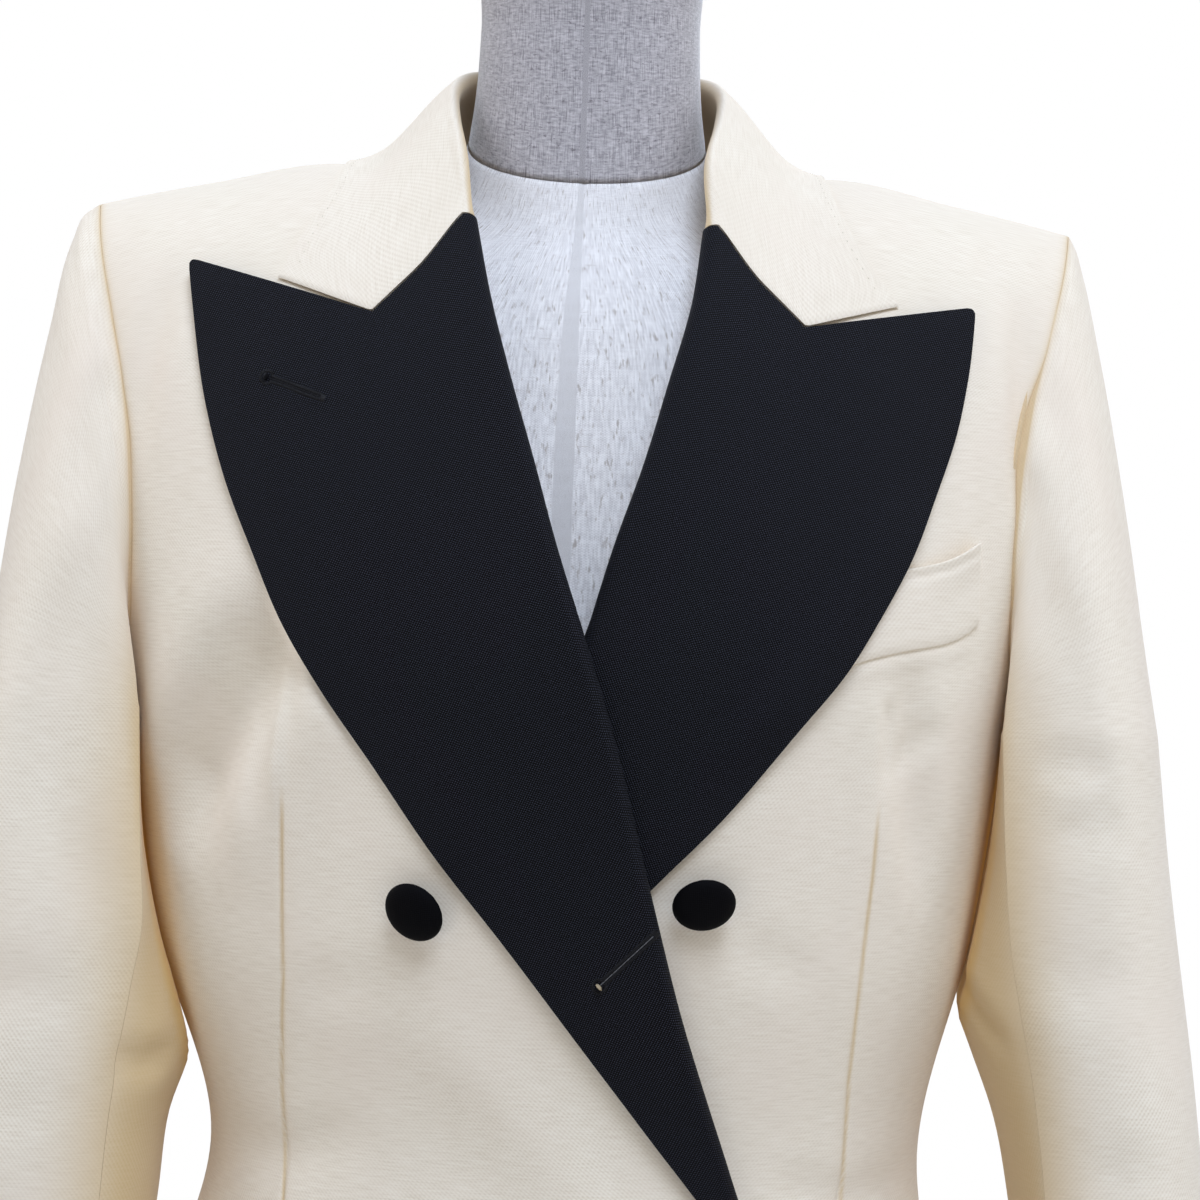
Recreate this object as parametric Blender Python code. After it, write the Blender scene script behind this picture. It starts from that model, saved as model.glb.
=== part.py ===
"""A double breasted blazer with wide peak lapels, worn by a limbless dress form on a stand.

Metres, +Z up. The front faces -Y, and +X is the wearer's left. The origin is on the floor,
under the middle of the stand. Every piece of one side is worked out with "across" counted
from the centre line towards that side, and is mirrored at the end for the right side.
"""
import math

import bmesh
import bpy
import numpy as np

# ---- thicknesses and clearances
CLOTH = 0.0016             # a panel's wall
LAPEL = 0.0026             # two layers of cloth and their canvas
COLLAR = 0.0022            # at its fold
COLLAR_EDGE = 0.0012       # at its outer edge, where its layers are pressed
SEAM = 0.0003              # between pieces that are sewn together
SLEEVE_SEAM = 0.0005       # between a sleeve's two pieces
LAY = 0.0006               # under what lies on a panel
COLLAR_LAY = 0.0008        # under the collar, where it bends round the neck
COLLAR_EDGE_LAY = 0.0007   # and under its outer edge
LAPPED = 0.0062            # how far the right front is lifted where it laps over the left lapel
LAPPED_LOW = 0.0030        # the same below the lapels
LAP_RISE = 0.090           # the width over which the right front climbs to that height
SLEEVE_CLEAR = 0.0044      # between the body's inner face and the sleeve's outer face
UNDERARM_CLEAR = 0.0008    # more than a seam, where the sleeve bends away from the armhole
SHOULDER_GAP = 0.0008      # half the shoulder seam, in the body's measure of up
REST_SOFTNESS = 0.0015     # how gradually the collar comes to rest on the body
PUSH_SOFTNESS = 0.0020     # and the sleeves on its sides
PUSH_BELOW = 1.170         # the height from which the sleeves are kept clear of the body
PUSH_FADE = 0.012

# ---- heights above the floor
HEM = 0.700
BUST = 1.150
BREAK = 0.940              # where the lapels end
LAP_LOW = 0.880            # from here down the two fronts lie close together

# ---- shape of the body
ROUNDNESS = 2.25           # of a level section: 2 is an ellipse, more is squarer
FRONT_RISE = 2.1           # how squarely the front turns over the shoulder
BACK_RISE = 2.3
SIDE_SEAM = 94.0           # degrees round from the centre front
SIDE_RADIUS = 0.19         # of a level section there
SWAY = 0.0045              # the waist hangs this far towards the wearer's left
SWAY_HEIGHT = 0.965
SWAY_REACH = 0.065

BODY = (
    # level        up     half_width  front   back
    ("hem",        0.000, 0.196,      0.142,  0.142),
    ("hip",        0.220, 0.190,      0.140,  0.140),
    ("high hip",   0.400, 0.171,      0.130,  0.122),
    ("waist",      0.589, 0.1505,     0.121,  0.102),
    ("ribs",       0.800, 0.174,      0.136,  0.110),
    ("bust",       1.000, 0.187,      0.145,  0.118),
    ("chest",      1.350, 0.207,      0.144,  0.121),
    ("yoke",       1.700, 0.226,      0.140,  0.122),
    ("shoulder",   2.000, 0.236,      0.138,  0.122),
)
SHOULDER_LINE = (
    # place              across  height
    ("centre",           0.000,  1.4130),
    ("neck",             0.045,  1.3990),
    ("neck point",       0.068,  1.3893),
    ("under collar",     0.090,  1.3830),
    ("collar edge",      0.108,  1.3838),
    ("middle",           0.155,  1.3745),
    ("shoulder point",   0.211,  1.3620),
    ("end",              0.240,  1.3540),
)
ARMHOLE = (
    # place              share  front_across  front_height  back_across  back_height
    ("underarm",         0.00,  0.230,        1.1630,       0.230,       1.1630),
    ("low",              0.15,  0.1835,       1.1760,       0.1850,      1.1790),
    ("lower",            0.30,  0.1808,       1.2100,       0.1835,      1.2160),
    ("pitch",            0.45,  0.1822,       1.2480,       0.1850,      1.2560),
    ("middle",           0.60,  0.1872,       1.2830,       0.1890,      1.2900),
    ("high",             0.75,  0.1950,       1.3130,       0.1960,      1.3180),
    ("top",              0.90,  0.2040,       1.3460,       0.2040,      1.3470),
    ("shoulder point",   1.00,  0.2092,       1.3624,       0.2092,      1.3624),
)
FRONT_EDGE = (
    # place              height   right    left      across to each front's edge or roll line
    ("shoulder",         1.3900,  0.0660,  0.0660),
    ("gorge",            1.3510,  0.0470,  0.0530),
    ("upper roll",       1.3180,  0.0395,  0.0490),
    ("chest",            1.2850,  0.0300,  0.0405),
    ("above the V",      1.2500,  0.0190,  0.0310),
    ("near the V",       1.2200,  0.0100,  0.0210),
    ("V",                1.1850, -0.0020,  0.0105),
    ("under the V",      1.1500, -0.0137, -0.0030),
    ("show buttons",     1.0900, -0.0296, -0.0240),
    ("ribs",             1.0240, -0.0464, -0.0460),
    ("waist",            0.9630, -0.0640, -0.0660),
    ("break",            0.9400, -0.0725, -0.0730),
    ("high hip",         0.8600, -0.0765, -0.0765),
    ("hem",              0.7000, -0.0765, -0.0765),
)
NECK_HALF = 0.0660         # the back neckline, half an oval seen from above
NECK_DEPTH = 0.0640
NAPE_ROW = 24              # the back panels' row that meets the nape, with the neckline above it

# ---- lapels: outer edge from the break up to the peak, and the top edge
LAPEL_OUTER_RIGHT = (
    # place         across   height
    ("break",      -0.0690,  0.9400),
    ("low",        -0.0530,  0.9632),
    ("under bust", -0.0184,  1.0113),
    ("hole",        0.0225,  1.0660),
    ("button",      0.0509,  1.1003),
    ("belly",       0.0748,  1.1326),
    ("",            0.0964,  1.1611),
    ("",            0.1138,  1.1879),
    ("",            0.1266,  1.2145),
    ("",            0.1396,  1.2431),
    ("chest",       0.1503,  1.2756),
    ("",            0.1590,  1.3176),
    ("peak",        0.1623,  1.3360),
)
LAPEL_OUTER_LEFT = (
    ("break",      -0.0690,  0.9400),
    ("low",        -0.0560,  0.9660),
    ("under bust", -0.0290,  1.0120),
    ("",            0.0060,  1.0540),
    ("button",      0.0355,  1.0872),
    ("",            0.0632,  1.1160),
    ("belly",       0.0922,  1.1517),
    ("",            0.1105,  1.1745),
    ("",            0.1233,  1.1958),
    ("",            0.1360,  1.2200),
    ("chest",       0.1453,  1.2446),
    ("",            0.1545,  1.2720),
    ("",            0.1592,  1.2947),
    ("peak",        0.1627,  1.3255),
)
GORGE = (
    # side      roll_across  roll_height  notch_across  notch_height
    ("right",   0.0470,      1.3510,      0.0831,       1.3129),
    ("left",    0.0530,      1.3495,      0.0908,       1.3124),
)
NOTCH_SHARE = 0.4          # of the lapel's width that is sewn to the collar
GORGE_FREE = 0.010         # the front's edge is followed up to this far below the roll's top
ROLL_RADIUS = 0.0042       # of the lapel's face round the front's edge
ROLL_TURN = 1.75           # how far round, in radians, the lapel turns in at its roll
FROM_ROLL = 3              # columns from the roll to one that is well on the front
SEEN_FROM = 0.030          # past this distance from the roll, an outline is kept as seen from ahead
ROLL_LIFT = 0.0022         # how much more the lapel stands off along the roll line
ROLL_SOFTNESS = 0.022      # how far in from the roll line that lift fades
LAPPED_ROLL = 1.190        # the left lapel's roll lies pressed below this height
ROLL_FADE = 0.050
PEAK_LIFT = 0.0025         # the peaks stand a little off the chest
PEAK_REACH = 0.045

# ---- collar, half of it: the fold's line, and the outer edge lying on the shoulders
COLLAR_STATIONS = (
    # place          seam_at  fold_x   fold_y   fold_z   edge_x   edge_z   behind
    ("lapel side",   1.3660,  0.0522, -0.0670,  1.3850,  0.1150,  1.3430,  False),
    ("front neck",   1.3800,  0.0565, -0.0380,  1.4050,  0.1060,  1.3625,  False),
    ("shoulder",     1.3900,  0.0570, -0.0020,  1.4235,  0.0990,  1.3840,  False),
    ("back neck",    26,      0.0450,  0.0390,  1.4340,  0.0820,  1.3720,  True),
    ("nape side",    25,      0.0245,  0.0545,  1.4365,  0.0440,  1.3700,  True),
    ("nape",         24,      0.0000,  0.0600,  1.4375,  0.0000,  1.3690,  True),
)
COLLAR_CORNER_RIGHT = (0.1233, 1.3268)
COLLAR_CORNER_LEFT = (0.1300, 1.3232)
COLLAR_GAP = (0.0006, 0.0006)   # between the collar's end and the lapel, across and up
COLLAR_NOTCH_SHARE = 0.424 # of the fall's width that is sewn to the lapel
FOLD_SHARE = 0.34          # of the way across the collar where its fold ends and its fall starts
FOLD_RADIUS = 0.0036
FALL_DROP = 0.006          # the fall drops from its fold before it lies on the shoulder
MIDDLE_SHARE = 0.6         # how far down the fall that drop is deepest
COLLAR_KNOTS = (0, 0.10, 0.20, 0.27, FOLD_SHARE, 0.72, 1)   # foot, stand, fold, fall and edge
NECK_MIDDLE = (0.0, 0.005)
CHEST_MIDDLE = (0.0, 0.0, 1.3)   # the collar's edge faces away from here

# ---- sleeves: level sections of each, from the underarm down to the cuff
SLEEVE_RIGHT = (
    # level          height  outer    inner    seam     middle_y  half_depth
    ("upper arm",    1.150,  0.2500,  0.1780,  0.1752,  -0.014,   0.0760),
    ("above elbow",  1.090,  0.2577,  0.1730,  0.1722,  -0.024,   0.0700),
    ("",             1.060,  0.2607,  0.1650,  0.1700,  -0.031,   0.0650),
    ("",             1.036,  0.2631,  0.1560,  0.1735,  -0.036,   0.0600),
    ("elbow",        1.015,  0.2652,  0.1525,  0.1770,  -0.039,   0.0575),
    ("",             0.976,  0.2690,  0.1630,  0.1815,  -0.043,   0.0530),
    ("below elbow",  0.942,  0.2725,  0.1660,  0.1840,  -0.0455,  0.0505),
    ("forearm",      0.860,  0.2790,  0.1800,  0.1950,  -0.053,   0.0470),
    ("cuff",         0.776,  0.2850,  0.1940,  0.2080,  -0.060,   0.0460),
)
SLEEVE_LEFT = (
    ("upper arm",    1.150,  0.2506,  0.1800,  0.1790,  -0.013,   0.0760),
    ("above elbow",  1.090,  0.2571,  0.1750,  0.1822,  -0.020,   0.0730),
    ("",             1.060,  0.2612,  0.1690,  0.1850,  -0.024,   0.0710),
    ("elbow",        1.0385, 0.2642,  0.1670,  0.1889,  -0.027,   0.0695),
    ("",             1.016,  0.2672,  0.1755,  0.1935,  -0.030,   0.0670),
    ("",             0.985,  0.2710,  0.1872,  0.1985,  -0.032,   0.0645),
    ("below elbow",  0.950,  0.2748,  0.1945,  0.2028,  -0.034,   0.0620),
    ("forearm",      0.860,  0.2815,  0.2010,  0.2130,  -0.045,   0.0570),
    ("cuff",         0.776,  0.2850,  0.2060,  0.2190,  -0.052,   0.0530),
)
SLEEVE_HEAD = (
    # share of the way down the cap, and how far the head swells past a straight run
    # share   right    left
    (0.000,   0.0000,  0.0000),
    (0.020,   0.0050,  0.0018),
    (0.060,   0.0076,  0.0030),
    (0.200,   0.0084,  0.0044),
    (0.450,   0.0070,  0.0040),
    (0.750,   0.0028,  0.0016),
    (1.000,   0.0000,  0.0000),
)
HEAD_FORWARD = 0.80        # how much of that swell goes forward and back, and how much up
HEAD_UP = 0.25
HEAD_EASE = 0.10           # how much sooner the cap's top runs down into the arm
CAP_ROWS = (0.0, 0.02, 0.06, 0.16, 0.32, 0.52, 0.76, 1.0)
ARMHOLE_MIDDLE = (0.19, 0.0, 1.262)
SLEEVE_SQUARENESS = 0.9    # of a level section: 1 is an ellipse, less is squarer
SLEEVE_HUG = 0.6           # the same of its quarter that lies along the body's side, behind
FOREARM_SEAM = 3           # armhole intervals from the underarm to the front sleeve seam
HIND_SEAM = 4              # and to the back one

# ---- breast pocket welt on the left front
WELT_INNER = ((0.1030, 1.1745), (0.1225, 1.2135))   # its hidden end, low and high
WELT_OUTER = ((0.1668, 1.1954), (0.1660, 1.2283))
WELT_SAG = 0.0012
WELT_LIFT = 0.0025         # the left lapel rides over the welt's hidden end
WELT_LIFT_BAND = (1.160, 1.226)
WELT_LIFT_DEPTH = 0.034
WELT_LIFT_FADE = 0.030
WELT_LIFT_SHARE = 1.6      # how soon the lift is full, in from the lapel's edge

# ---- buttons: cloth-covered domes that droop on their shanks
BUTTONS = (
    # name                  across   height  side  droop  swing   degrees
    ("button_show_right",   0.0540,  1.0785, -1,   28.0,  42.0),
    ("button_show_left",    0.0554,  1.0852,  1,   30.0, -4.0),
    ("button_close_right",  0.0574,  0.9230, -1,   16.0,  6.0),
    ("button_close_left",   0.0574,  0.9230,  1,   16.0, -5.0),
)
BUTTON_PROFILE = (
    # out      forward
    (0.0000,   0.0071),
    (0.0045,   0.0068),
    (0.0085,   0.0058),
    (0.0113,   0.0040),
    (0.0125,   0.0020),
    (0.0119,   0.0006),
    (0.0098,   0.0000),
    (0.0030,   0.0000),
)
CLOSING_LAYER = 0.0054     # the right front's wall and lift under the button that closes it
SHANK_RADIUS = 0.0030
SHANK_LENGTH = 0.0034
SHANK_TOP = 0.0022         # from the shank to the button's back
BUTTON_SIDES = 16

# ---- dress form, its neck, and the stand
FORM = (
    # level          height  half_width  front   back    tilt
    ("bottom edge",  0.664,  0.158,      0.112,  0.112,  0.00),
    ("bottom",       0.672,  0.166,      0.118,  0.118,  0.00),
    ("hip",          0.780,  0.174,      0.124,  0.126,  0.00),
    ("high hip",     0.880,  0.156,      0.115,  0.108,  0.00),
    ("waist",        0.975,  0.133,      0.103,  0.086,  0.00),
    ("ribs",         1.060,  0.150,      0.117,  0.093,  0.00),
    ("bust",         1.150,  0.168,      0.130,  0.102,  0.00),
    ("chest",        1.220,  0.166,      0.124,  0.104,  0.00),
    ("arm plates",   1.280,  0.156,      0.110,  0.100,  0.05),
    ("shoulder",     1.325,  0.130,      0.094,  0.086,  0.12),
    ("upper",        1.352,  0.096,      0.079,  0.070,  0.20),
    ("throat",       1.373,  0.065,      0.065,  0.051,  0.30),
    ("neck base",    1.3955, 0.0515,     0.056,  0.042,  0.40),
)
NECK = (
    ("neck base",    1.3958, 0.0515,     0.056,  0.042,  0.40),
    ("",             1.4150, 0.0490,     0.052,  0.041,  0.28),
    ("",             1.4450, 0.0474,     0.049,  0.041,  0.12),
    ("top",          1.4850, 0.0468,     0.048,  0.041,  0.00),
    ("rim",          1.4930, 0.0440,     0.045,  0.038,  0.00),
    ("flat",         1.4960, 0.0370,     0.038,  0.031,  0.00),
)
FORM_ROUNDNESS = 2.15
POLE_RADIUS = 0.0125
SOCKET_RADIUS = 0.050
SOCKET_THICKNESS = 0.012
BASE_RADIUS = 0.1700
BASE_THICKNESS = 0.016
BASE_HUB_RADIUS = 0.030
BASE_HUB_HEIGHT = 0.045
FORM_BOTTOM = 0.664
STAND_EDGE = 0.004         # how far the stand's edges are cut back

# ---- how finely the solids are divided
LOW_ROWS = 18              # a panel's rows from the hem to the underarm
ARM_ROWS = 10              # and from the underarm to the shoulder
FRONT_COLUMNS = 11
BACK_COLUMNS = 8
LAPEL_ROWS = 25
LAPEL_COLUMNS = 10
ROLL_STEPS = 3
COLLAR_COLUMNS = (0, 0.10, 0.20, 0.27, FOLD_SHARE, 0.43, 0.52, 0.62, 0.74, 0.87, 1)
SLEEVE_ROWS = 12
FORM_SIDES = 32

COLOURS = {
    # material        red    green  blue   roughness  metallic
    "cream_cloth":    (0.84, 0.79, 0.68,   0.80,      0.0),
    "black_cloth":    (0.012, 0.013, 0.018, 0.70,     0.0),
    "linen":          (0.62, 0.61, 0.60,   0.85,      0.0),
    "neck_linen":     (0.52, 0.51, 0.54,   0.85,      0.0),
    "dark_metal":     (0.05, 0.05, 0.05,   0.40,      1.0),
    "beech":          (0.48, 0.33, 0.19,   0.50,      0.0),
}


# ---------------------------------------------------------------- curves and the body's surface

def column(table, index):
    return np.array([row[index] for row in table], float)


def through(knots, values, at):
    """A smooth curve through the values at the knots, read at other places."""
    knots = np.asarray(knots, float)
    values = np.asarray(values, float)
    at = np.asarray(at, float)
    slope = np.gradient(values, knots, axis=0)
    low = np.clip(np.searchsorted(knots, at, side="right") - 1, 0, len(knots) - 2)
    step = knots[low + 1] - knots[low]
    t = (at - knots[low]) / step
    t = t.reshape(t.shape + (1,) * (values.ndim - 1))
    step = step.reshape(t.shape)
    start = (2 * t**3 - 3 * t**2 + 1) * values[low] + (t**3 - 2 * t**2 + t) * step * slope[low]
    end = (3 * t**2 - 2 * t**3) * values[low + 1] + (t**3 - t**2) * step * slope[low + 1]
    return start + end


def sway(height):
    return SWAY * np.exp(-((height - SWAY_HEIGHT) / SWAY_REACH) ** 2)


def smooth_step(share):
    share = np.clip(share, 0, 1)
    return share * share * (3 - 2 * share)


def unit(vectors):
    return vectors / np.linalg.norm(vectors, axis=-1, keepdims=True)


def shoulder_height(across):
    return through(column(SHOULDER_LINE, 1), column(SHOULDER_LINE, 2), np.abs(across))


def body(around, up):
    """The jacket's inner face. around: degrees from the centre front. up: 0 hem, 1 bust, 2 shoulder."""
    around, up = np.broadcast_arrays(np.asarray(around, float), np.asarray(up, float))
    over = up > 2
    around = np.where(over, np.sign(around) * 180 - around, around)
    up = np.where(over, 4 - up, up)
    turn = np.radians(np.abs(around))
    front = turn <= np.pi / 2
    level = column(BODY, 1)
    half = through(level, column(BODY, 2), up)
    depth = np.where(front, through(level, column(BODY, 3), up), through(level, column(BODY, 4), up))
    rise = np.where(front, FRONT_RISE, BACK_RISE)
    lean = np.clip(up - 1, 0, 1) * np.pi / 2
    x = half * np.abs(np.sin(turn)) ** (2 / ROUNDNESS)
    y = depth * np.abs(np.cos(turn)) ** (2 / ROUNDNESS) * np.cos(lean)
    crest = BUST + (shoulder_height(x) - BUST) * np.sqrt(np.maximum(1 - np.cos(lean) ** rise, 0))
    z = np.where(up < 1, HEM + up * (BUST - HEM), crest)
    return np.stack([np.copysign(x, around), np.where(front, -y, y), z], -1)


def place(across, height, behind=False):
    """The (around, up) of the body's point that is seen at this place from the front or the back."""
    across, height = np.broadcast_arrays(np.asarray(across, float), np.asarray(height, float))
    share = np.clip((height - BUST) / (shoulder_height(across) - BUST), 0, 1)
    rise = np.where(behind, BACK_RISE, FRONT_RISE)
    lean = np.arccos(np.clip(1 - share**2, 0, 1) ** (1 / rise))
    up = np.where(height < BUST, (height - HEM) / (BUST - HEM), 1 + lean / (np.pi / 2))
    half = through(column(BODY, 1), column(BODY, 2), up)
    around = np.degrees(np.arcsin(np.clip(np.abs(across) / half, 0, 1) ** (ROUNDNESS / 2)))
    around = np.where(behind, 180 - around, around)
    return np.copysign(around, across), up


def normal(around, up, step=0.4):
    """The body's outward unit normals."""
    sideways = body(around + step, up) - body(around - step, up)
    upward = body(around, up + step / 100) - body(around, up - step / 100)
    return unit(np.cross(sideways, upward))


def lap(across, height, side):
    """How far a front is lifted off the body: the right one laps over the left one and its lapel."""
    if side > 0:
        return np.zeros(np.shape(across))
    reach = -across - through(column(FRONT_EDGE, 1)[::-1], column(FRONT_EDGE, 3)[::-1], height)
    full = LAPPED_LOW + (LAPPED - LAPPED_LOW) * smooth_step((height - LAP_LOW) / (BREAK - LAP_LOW))
    return full * smooth_step(1 + reach / LAP_RISE)


def on_front(across, height, lift, side, seen=1.0):
    """Points lift metres out from a front's inner face. Where seen is 1 they keep their place as
    it is seen from the front, and where it is 0 they lie straight above that place of the panel."""
    lift = lift + lap(across, height, side)
    out = normal(*place(across, height))
    around, up = place(across - seen * lift * out[..., 0], height - seen * lift * out[..., 2])
    out = normal(around, up)
    return body(around, up) + out * lift[..., None], out


# ---------------------------------------------------------------- meshes

def material(name):
    made = bpy.data.materials.get(name)
    if made is None:
        made = bpy.data.materials.new(name)
        made.use_nodes = True
        shader = made.node_tree.nodes["Principled BSDF"]
        red, green, blue, roughness, metallic = COLOURS[name]
        shader.inputs["Base Color"].default_value = (red, green, blue, 1.0)
        shader.inputs["Roughness"].default_value = roughness
        shader.inputs["Metallic"].default_value = metallic
    return made


def solid(name, mesh_builder, finish, side=1):
    """A named object from a bmesh, mirrored for the right side, with its faces turned outward."""
    if side < 0:
        for vertex in mesh_builder.verts:
            vertex.co.x = -vertex.co.x
    bmesh.ops.recalc_face_normals(mesh_builder, faces=mesh_builder.faces)
    mesh = bpy.data.meshes.new(name)
    mesh_builder.to_mesh(mesh)
    mesh_builder.free()
    mesh.shade_smooth()
    mesh.set_sharp_from_angle(angle=math.radians(40))
    mesh.materials.append(material(finish))
    made = bpy.data.objects.new(name, mesh)
    bpy.context.scene.collection.objects.link(made)
    return made


def grid_normals(grid, ring=False):
    """Unit normals of a grid, to the left of its rows seen from outside."""
    along = np.gradient(grid, axis=0)
    if ring:
        across = np.roll(grid, -1, axis=1) - np.roll(grid, 1, axis=1)
    else:
        across = np.gradient(grid, axis=1)
    return unit(np.cross(across, along))


def wall(name, face, inward, thickness, finish, side, swaying=True):
    """A sheet of cloth: its outer face is a grid of points, its inner one lies inward of it."""
    rows, columns = face.shape[:2]
    if swaying:
        face = face + np.stack([side * sway(face[..., 2]), 0 * face[..., 2], 0 * face[..., 2]], -1)
    made = bmesh.new()
    outer = [[made.verts.new(point) for point in row] for row in face]
    inner = [[made.verts.new(point) for point in row] for row in face + inward * thickness]
    for row in range(rows - 1):
        for col in range(columns - 1):
            for skin in (outer, inner):
                corners = (skin[row][col], skin[row][col + 1], skin[row + 1][col + 1], skin[row + 1][col])
                made.faces.new(corners)
    rim = [(0, col) for col in range(columns)]
    rim += [(row, columns - 1) for row in range(1, rows)]
    rim += [(rows - 1, col) for col in range(columns - 2, -1, -1)]
    rim += [(row, 0) for row in range(rows - 2, 0, -1)]
    for (row, col), (next_row, next_col) in zip(rim, rim[1:] + rim[:1]):
        corners = (outer[row][col], outer[next_row][next_col], inner[next_row][next_col], inner[row][col])
        made.faces.new(corners)
    return solid(name, made, finish, side)


def turned(name, profile, centre, axes, sides, finish, side=1):
    """A solid of revolution. profile: (out, forward) pairs. axes: two across it and the forward one."""
    made = bmesh.new()
    first, second, forward = axes
    rings = []
    for out, ahead in profile:
        middle = centre + forward * ahead
        if out == 0:
            rings.append([made.verts.new(middle)])
            continue
        ring = []
        for turn in np.arange(sides) * 2 * np.pi / sides:
            ring.append(made.verts.new(middle + out * (first * np.cos(turn) + second * np.sin(turn))))
        rings.append(ring)
    for ring, following in zip(rings, rings[1:]):
        skin(made, ring, following)
    for end in (rings[0], rings[-1]):
        if len(end) > 1:
            made.faces.new(end)
    return solid(name, made, finish, side)


def skin(made, ring, following):
    """Faces between two rings, either of which may be a single point."""
    count = max(len(ring), len(following))
    for k in range(count):
        corners = [ring[k % len(ring)], ring[(k + 1) % count % len(ring)],
                   following[(k + 1) % count % len(following)], following[k % len(following)]]
        made.faces.new(list(dict.fromkeys(corners)))


# ---------------------------------------------------------------- fronts and backs

def armhole(share, behind):
    """The armhole's (around, up) from the underarm to the shoulder point."""
    knots = column(ARMHOLE, 1)
    first = 4 if behind else 2
    around, up = place(column(ARMHOLE, first), column(ARMHOLE, first + 1), behind)
    pairs = np.stack([around, up], -1)
    pairs[0, 0] = SIDE_SEAM
    pairs[-1, 1] = 2
    return through(knots, pairs, share)


def outer_edge(behind):
    """The side seam and then the armhole, as (around, up), one point for each row of a panel."""
    low = np.linspace(0, 1, LOW_ROWS, endpoint=False)
    high = np.linspace(0, 1, ARM_ROWS + 1)
    underarm = armhole(0.0, behind)[1]
    seam = np.stack([np.full(LOW_ROWS, SIDE_SEAM), low * underarm], -1)
    edge = np.concatenate([seam, armhole(high, behind)])
    half_gap = np.degrees(SEAM / 2 / SIDE_RADIUS) * (1 if behind else -1)
    edge[: LOW_ROWS + 1, 0] += half_gap
    edge[-1, 1] = 2 - SHOULDER_GAP
    return edge


def front(side):
    index = 2 if side < 0 else 3
    heights = column(FRONT_EDGE, 1)[::-1]
    rows = np.linspace(0, 1, LOW_ROWS + ARM_ROWS + 1)
    height = HEM + (heights[-1] - HEM) * rows
    across = through(heights, column(FRONT_EDGE, index)[::-1], height)
    inner = np.stack(place(across, height), -1)
    inner[-1, 1] = 2 - SHOULDER_GAP
    return panel("front_right" if side < 0 else "front_left", inner, outer_edge(False), FRONT_COLUMNS, side)


def behind_neck(across, deep):
    """The (around, up) of the back's point that lies there when it is seen from above."""
    level = column(BODY, 1)
    up = np.full(np.shape(across), 1.9)
    for _ in range(6):
        turn = np.arcsin((across / through(level, column(BODY, 2), up)) ** (ROUNDNESS / 2))
        depth = through(level, column(BODY, 4), up) * np.cos(turn) ** (2 / ROUNDNESS)
        up = 1 + np.arccos(np.clip(deep / depth, 0, 1)) / (np.pi / 2)
    return 180 - np.degrees(turn), up


def back_edge(row):
    """(around, up) along the centre back seam and then along the neckline to its neck point."""
    last = LOW_ROWS + ARM_ROWS
    turn = np.clip((last - row) / (last - NAPE_ROW), 0, 1) * np.pi / 2
    across = np.maximum(NECK_HALF * np.cos(turn), SEAM / 2)
    around, up = behind_neck(across, NECK_DEPTH * np.sin(turn))
    return np.stack([around, up * np.clip(row / NAPE_ROW, 0, 1)], -1)


def back(side):
    inner = back_edge(np.arange(LOW_ROWS + ARM_ROWS + 1.0))
    inner[-1, 1] = 2 - SHOULDER_GAP
    return panel("back_right" if side < 0 else "back_left", inner, outer_edge(True), BACK_COLUMNS, side)


def panel(name, inner, outer, columns, side):
    """A body panel between two edges, each a list of (around, up), ruled from one to the other."""
    share = np.linspace(0, 1, columns + 1)[None, :, None]
    flat = inner[:, None] * (1 - share) + outer[:, None] * share
    around, up = flat[..., 0], flat[..., 1]
    points = body(around, up)
    out = normal(around, up)
    behind = name.startswith("back")
    rise = 0 if behind else lap(points[..., 0], points[..., 2], side)
    points = points + out * np.expand_dims(CLOTH + rise * np.ones(points.shape[:2]), -1)
    return wall(name, points, -out, CLOTH, "cream_cloth", side)


# ---------------------------------------------------------------- lapels

def along_curve(points, share):
    """Points at shares of the length of a smooth curve."""
    length = np.concatenate([[0], np.cumsum(np.linalg.norm(np.diff(points, axis=0), axis=1))])
    return through(length / length[-1], points, share)


def lapel_outline(side, rows, columns):
    """The lapel's flat (across, height) grid, rows from the break up, columns from roll to outer edge."""
    index = 2 if side < 0 else 3
    roll_across, roll_height, notch_across, notch_height = GORGE[0 if side < 0 else 1][1:]
    edge = np.stack([column(FRONT_EDGE, index), column(FRONT_EDGE, 1)], -1)[::-1]
    edge = edge[(edge[:, 1] >= BREAK) & (edge[:, 1] < roll_height - GORGE_FREE)]
    edge = np.concatenate([edge, [[roll_across, roll_height]]])
    table = LAPEL_OUTER_RIGHT if side < 0 else LAPEL_OUTER_LEFT
    outer = np.stack([column(table, 1), column(table, 2)], -1)
    share = np.linspace(0, 1, rows + 1)
    roll_side = along_curve(edge, share)
    outer_side = along_curve(outer, share)
    t = share[:, None, None]
    s = np.linspace(0, 1, columns + 1)
    flat = roll_side[:, None] * (1 - s[None, :, None]) + outer_side[:, None] * s[None, :, None]
    corners = np.array([edge[-1], [notch_across, notch_height], outer[-1]])
    knots = [0, NOTCH_SHARE, 1]
    top = np.stack([np.interp(s, knots, corners[:, 0]), np.interp(s, knots, corners[:, 1])], -1)
    straight = flat[-1]
    return flat + t * (top - straight)[None]


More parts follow.
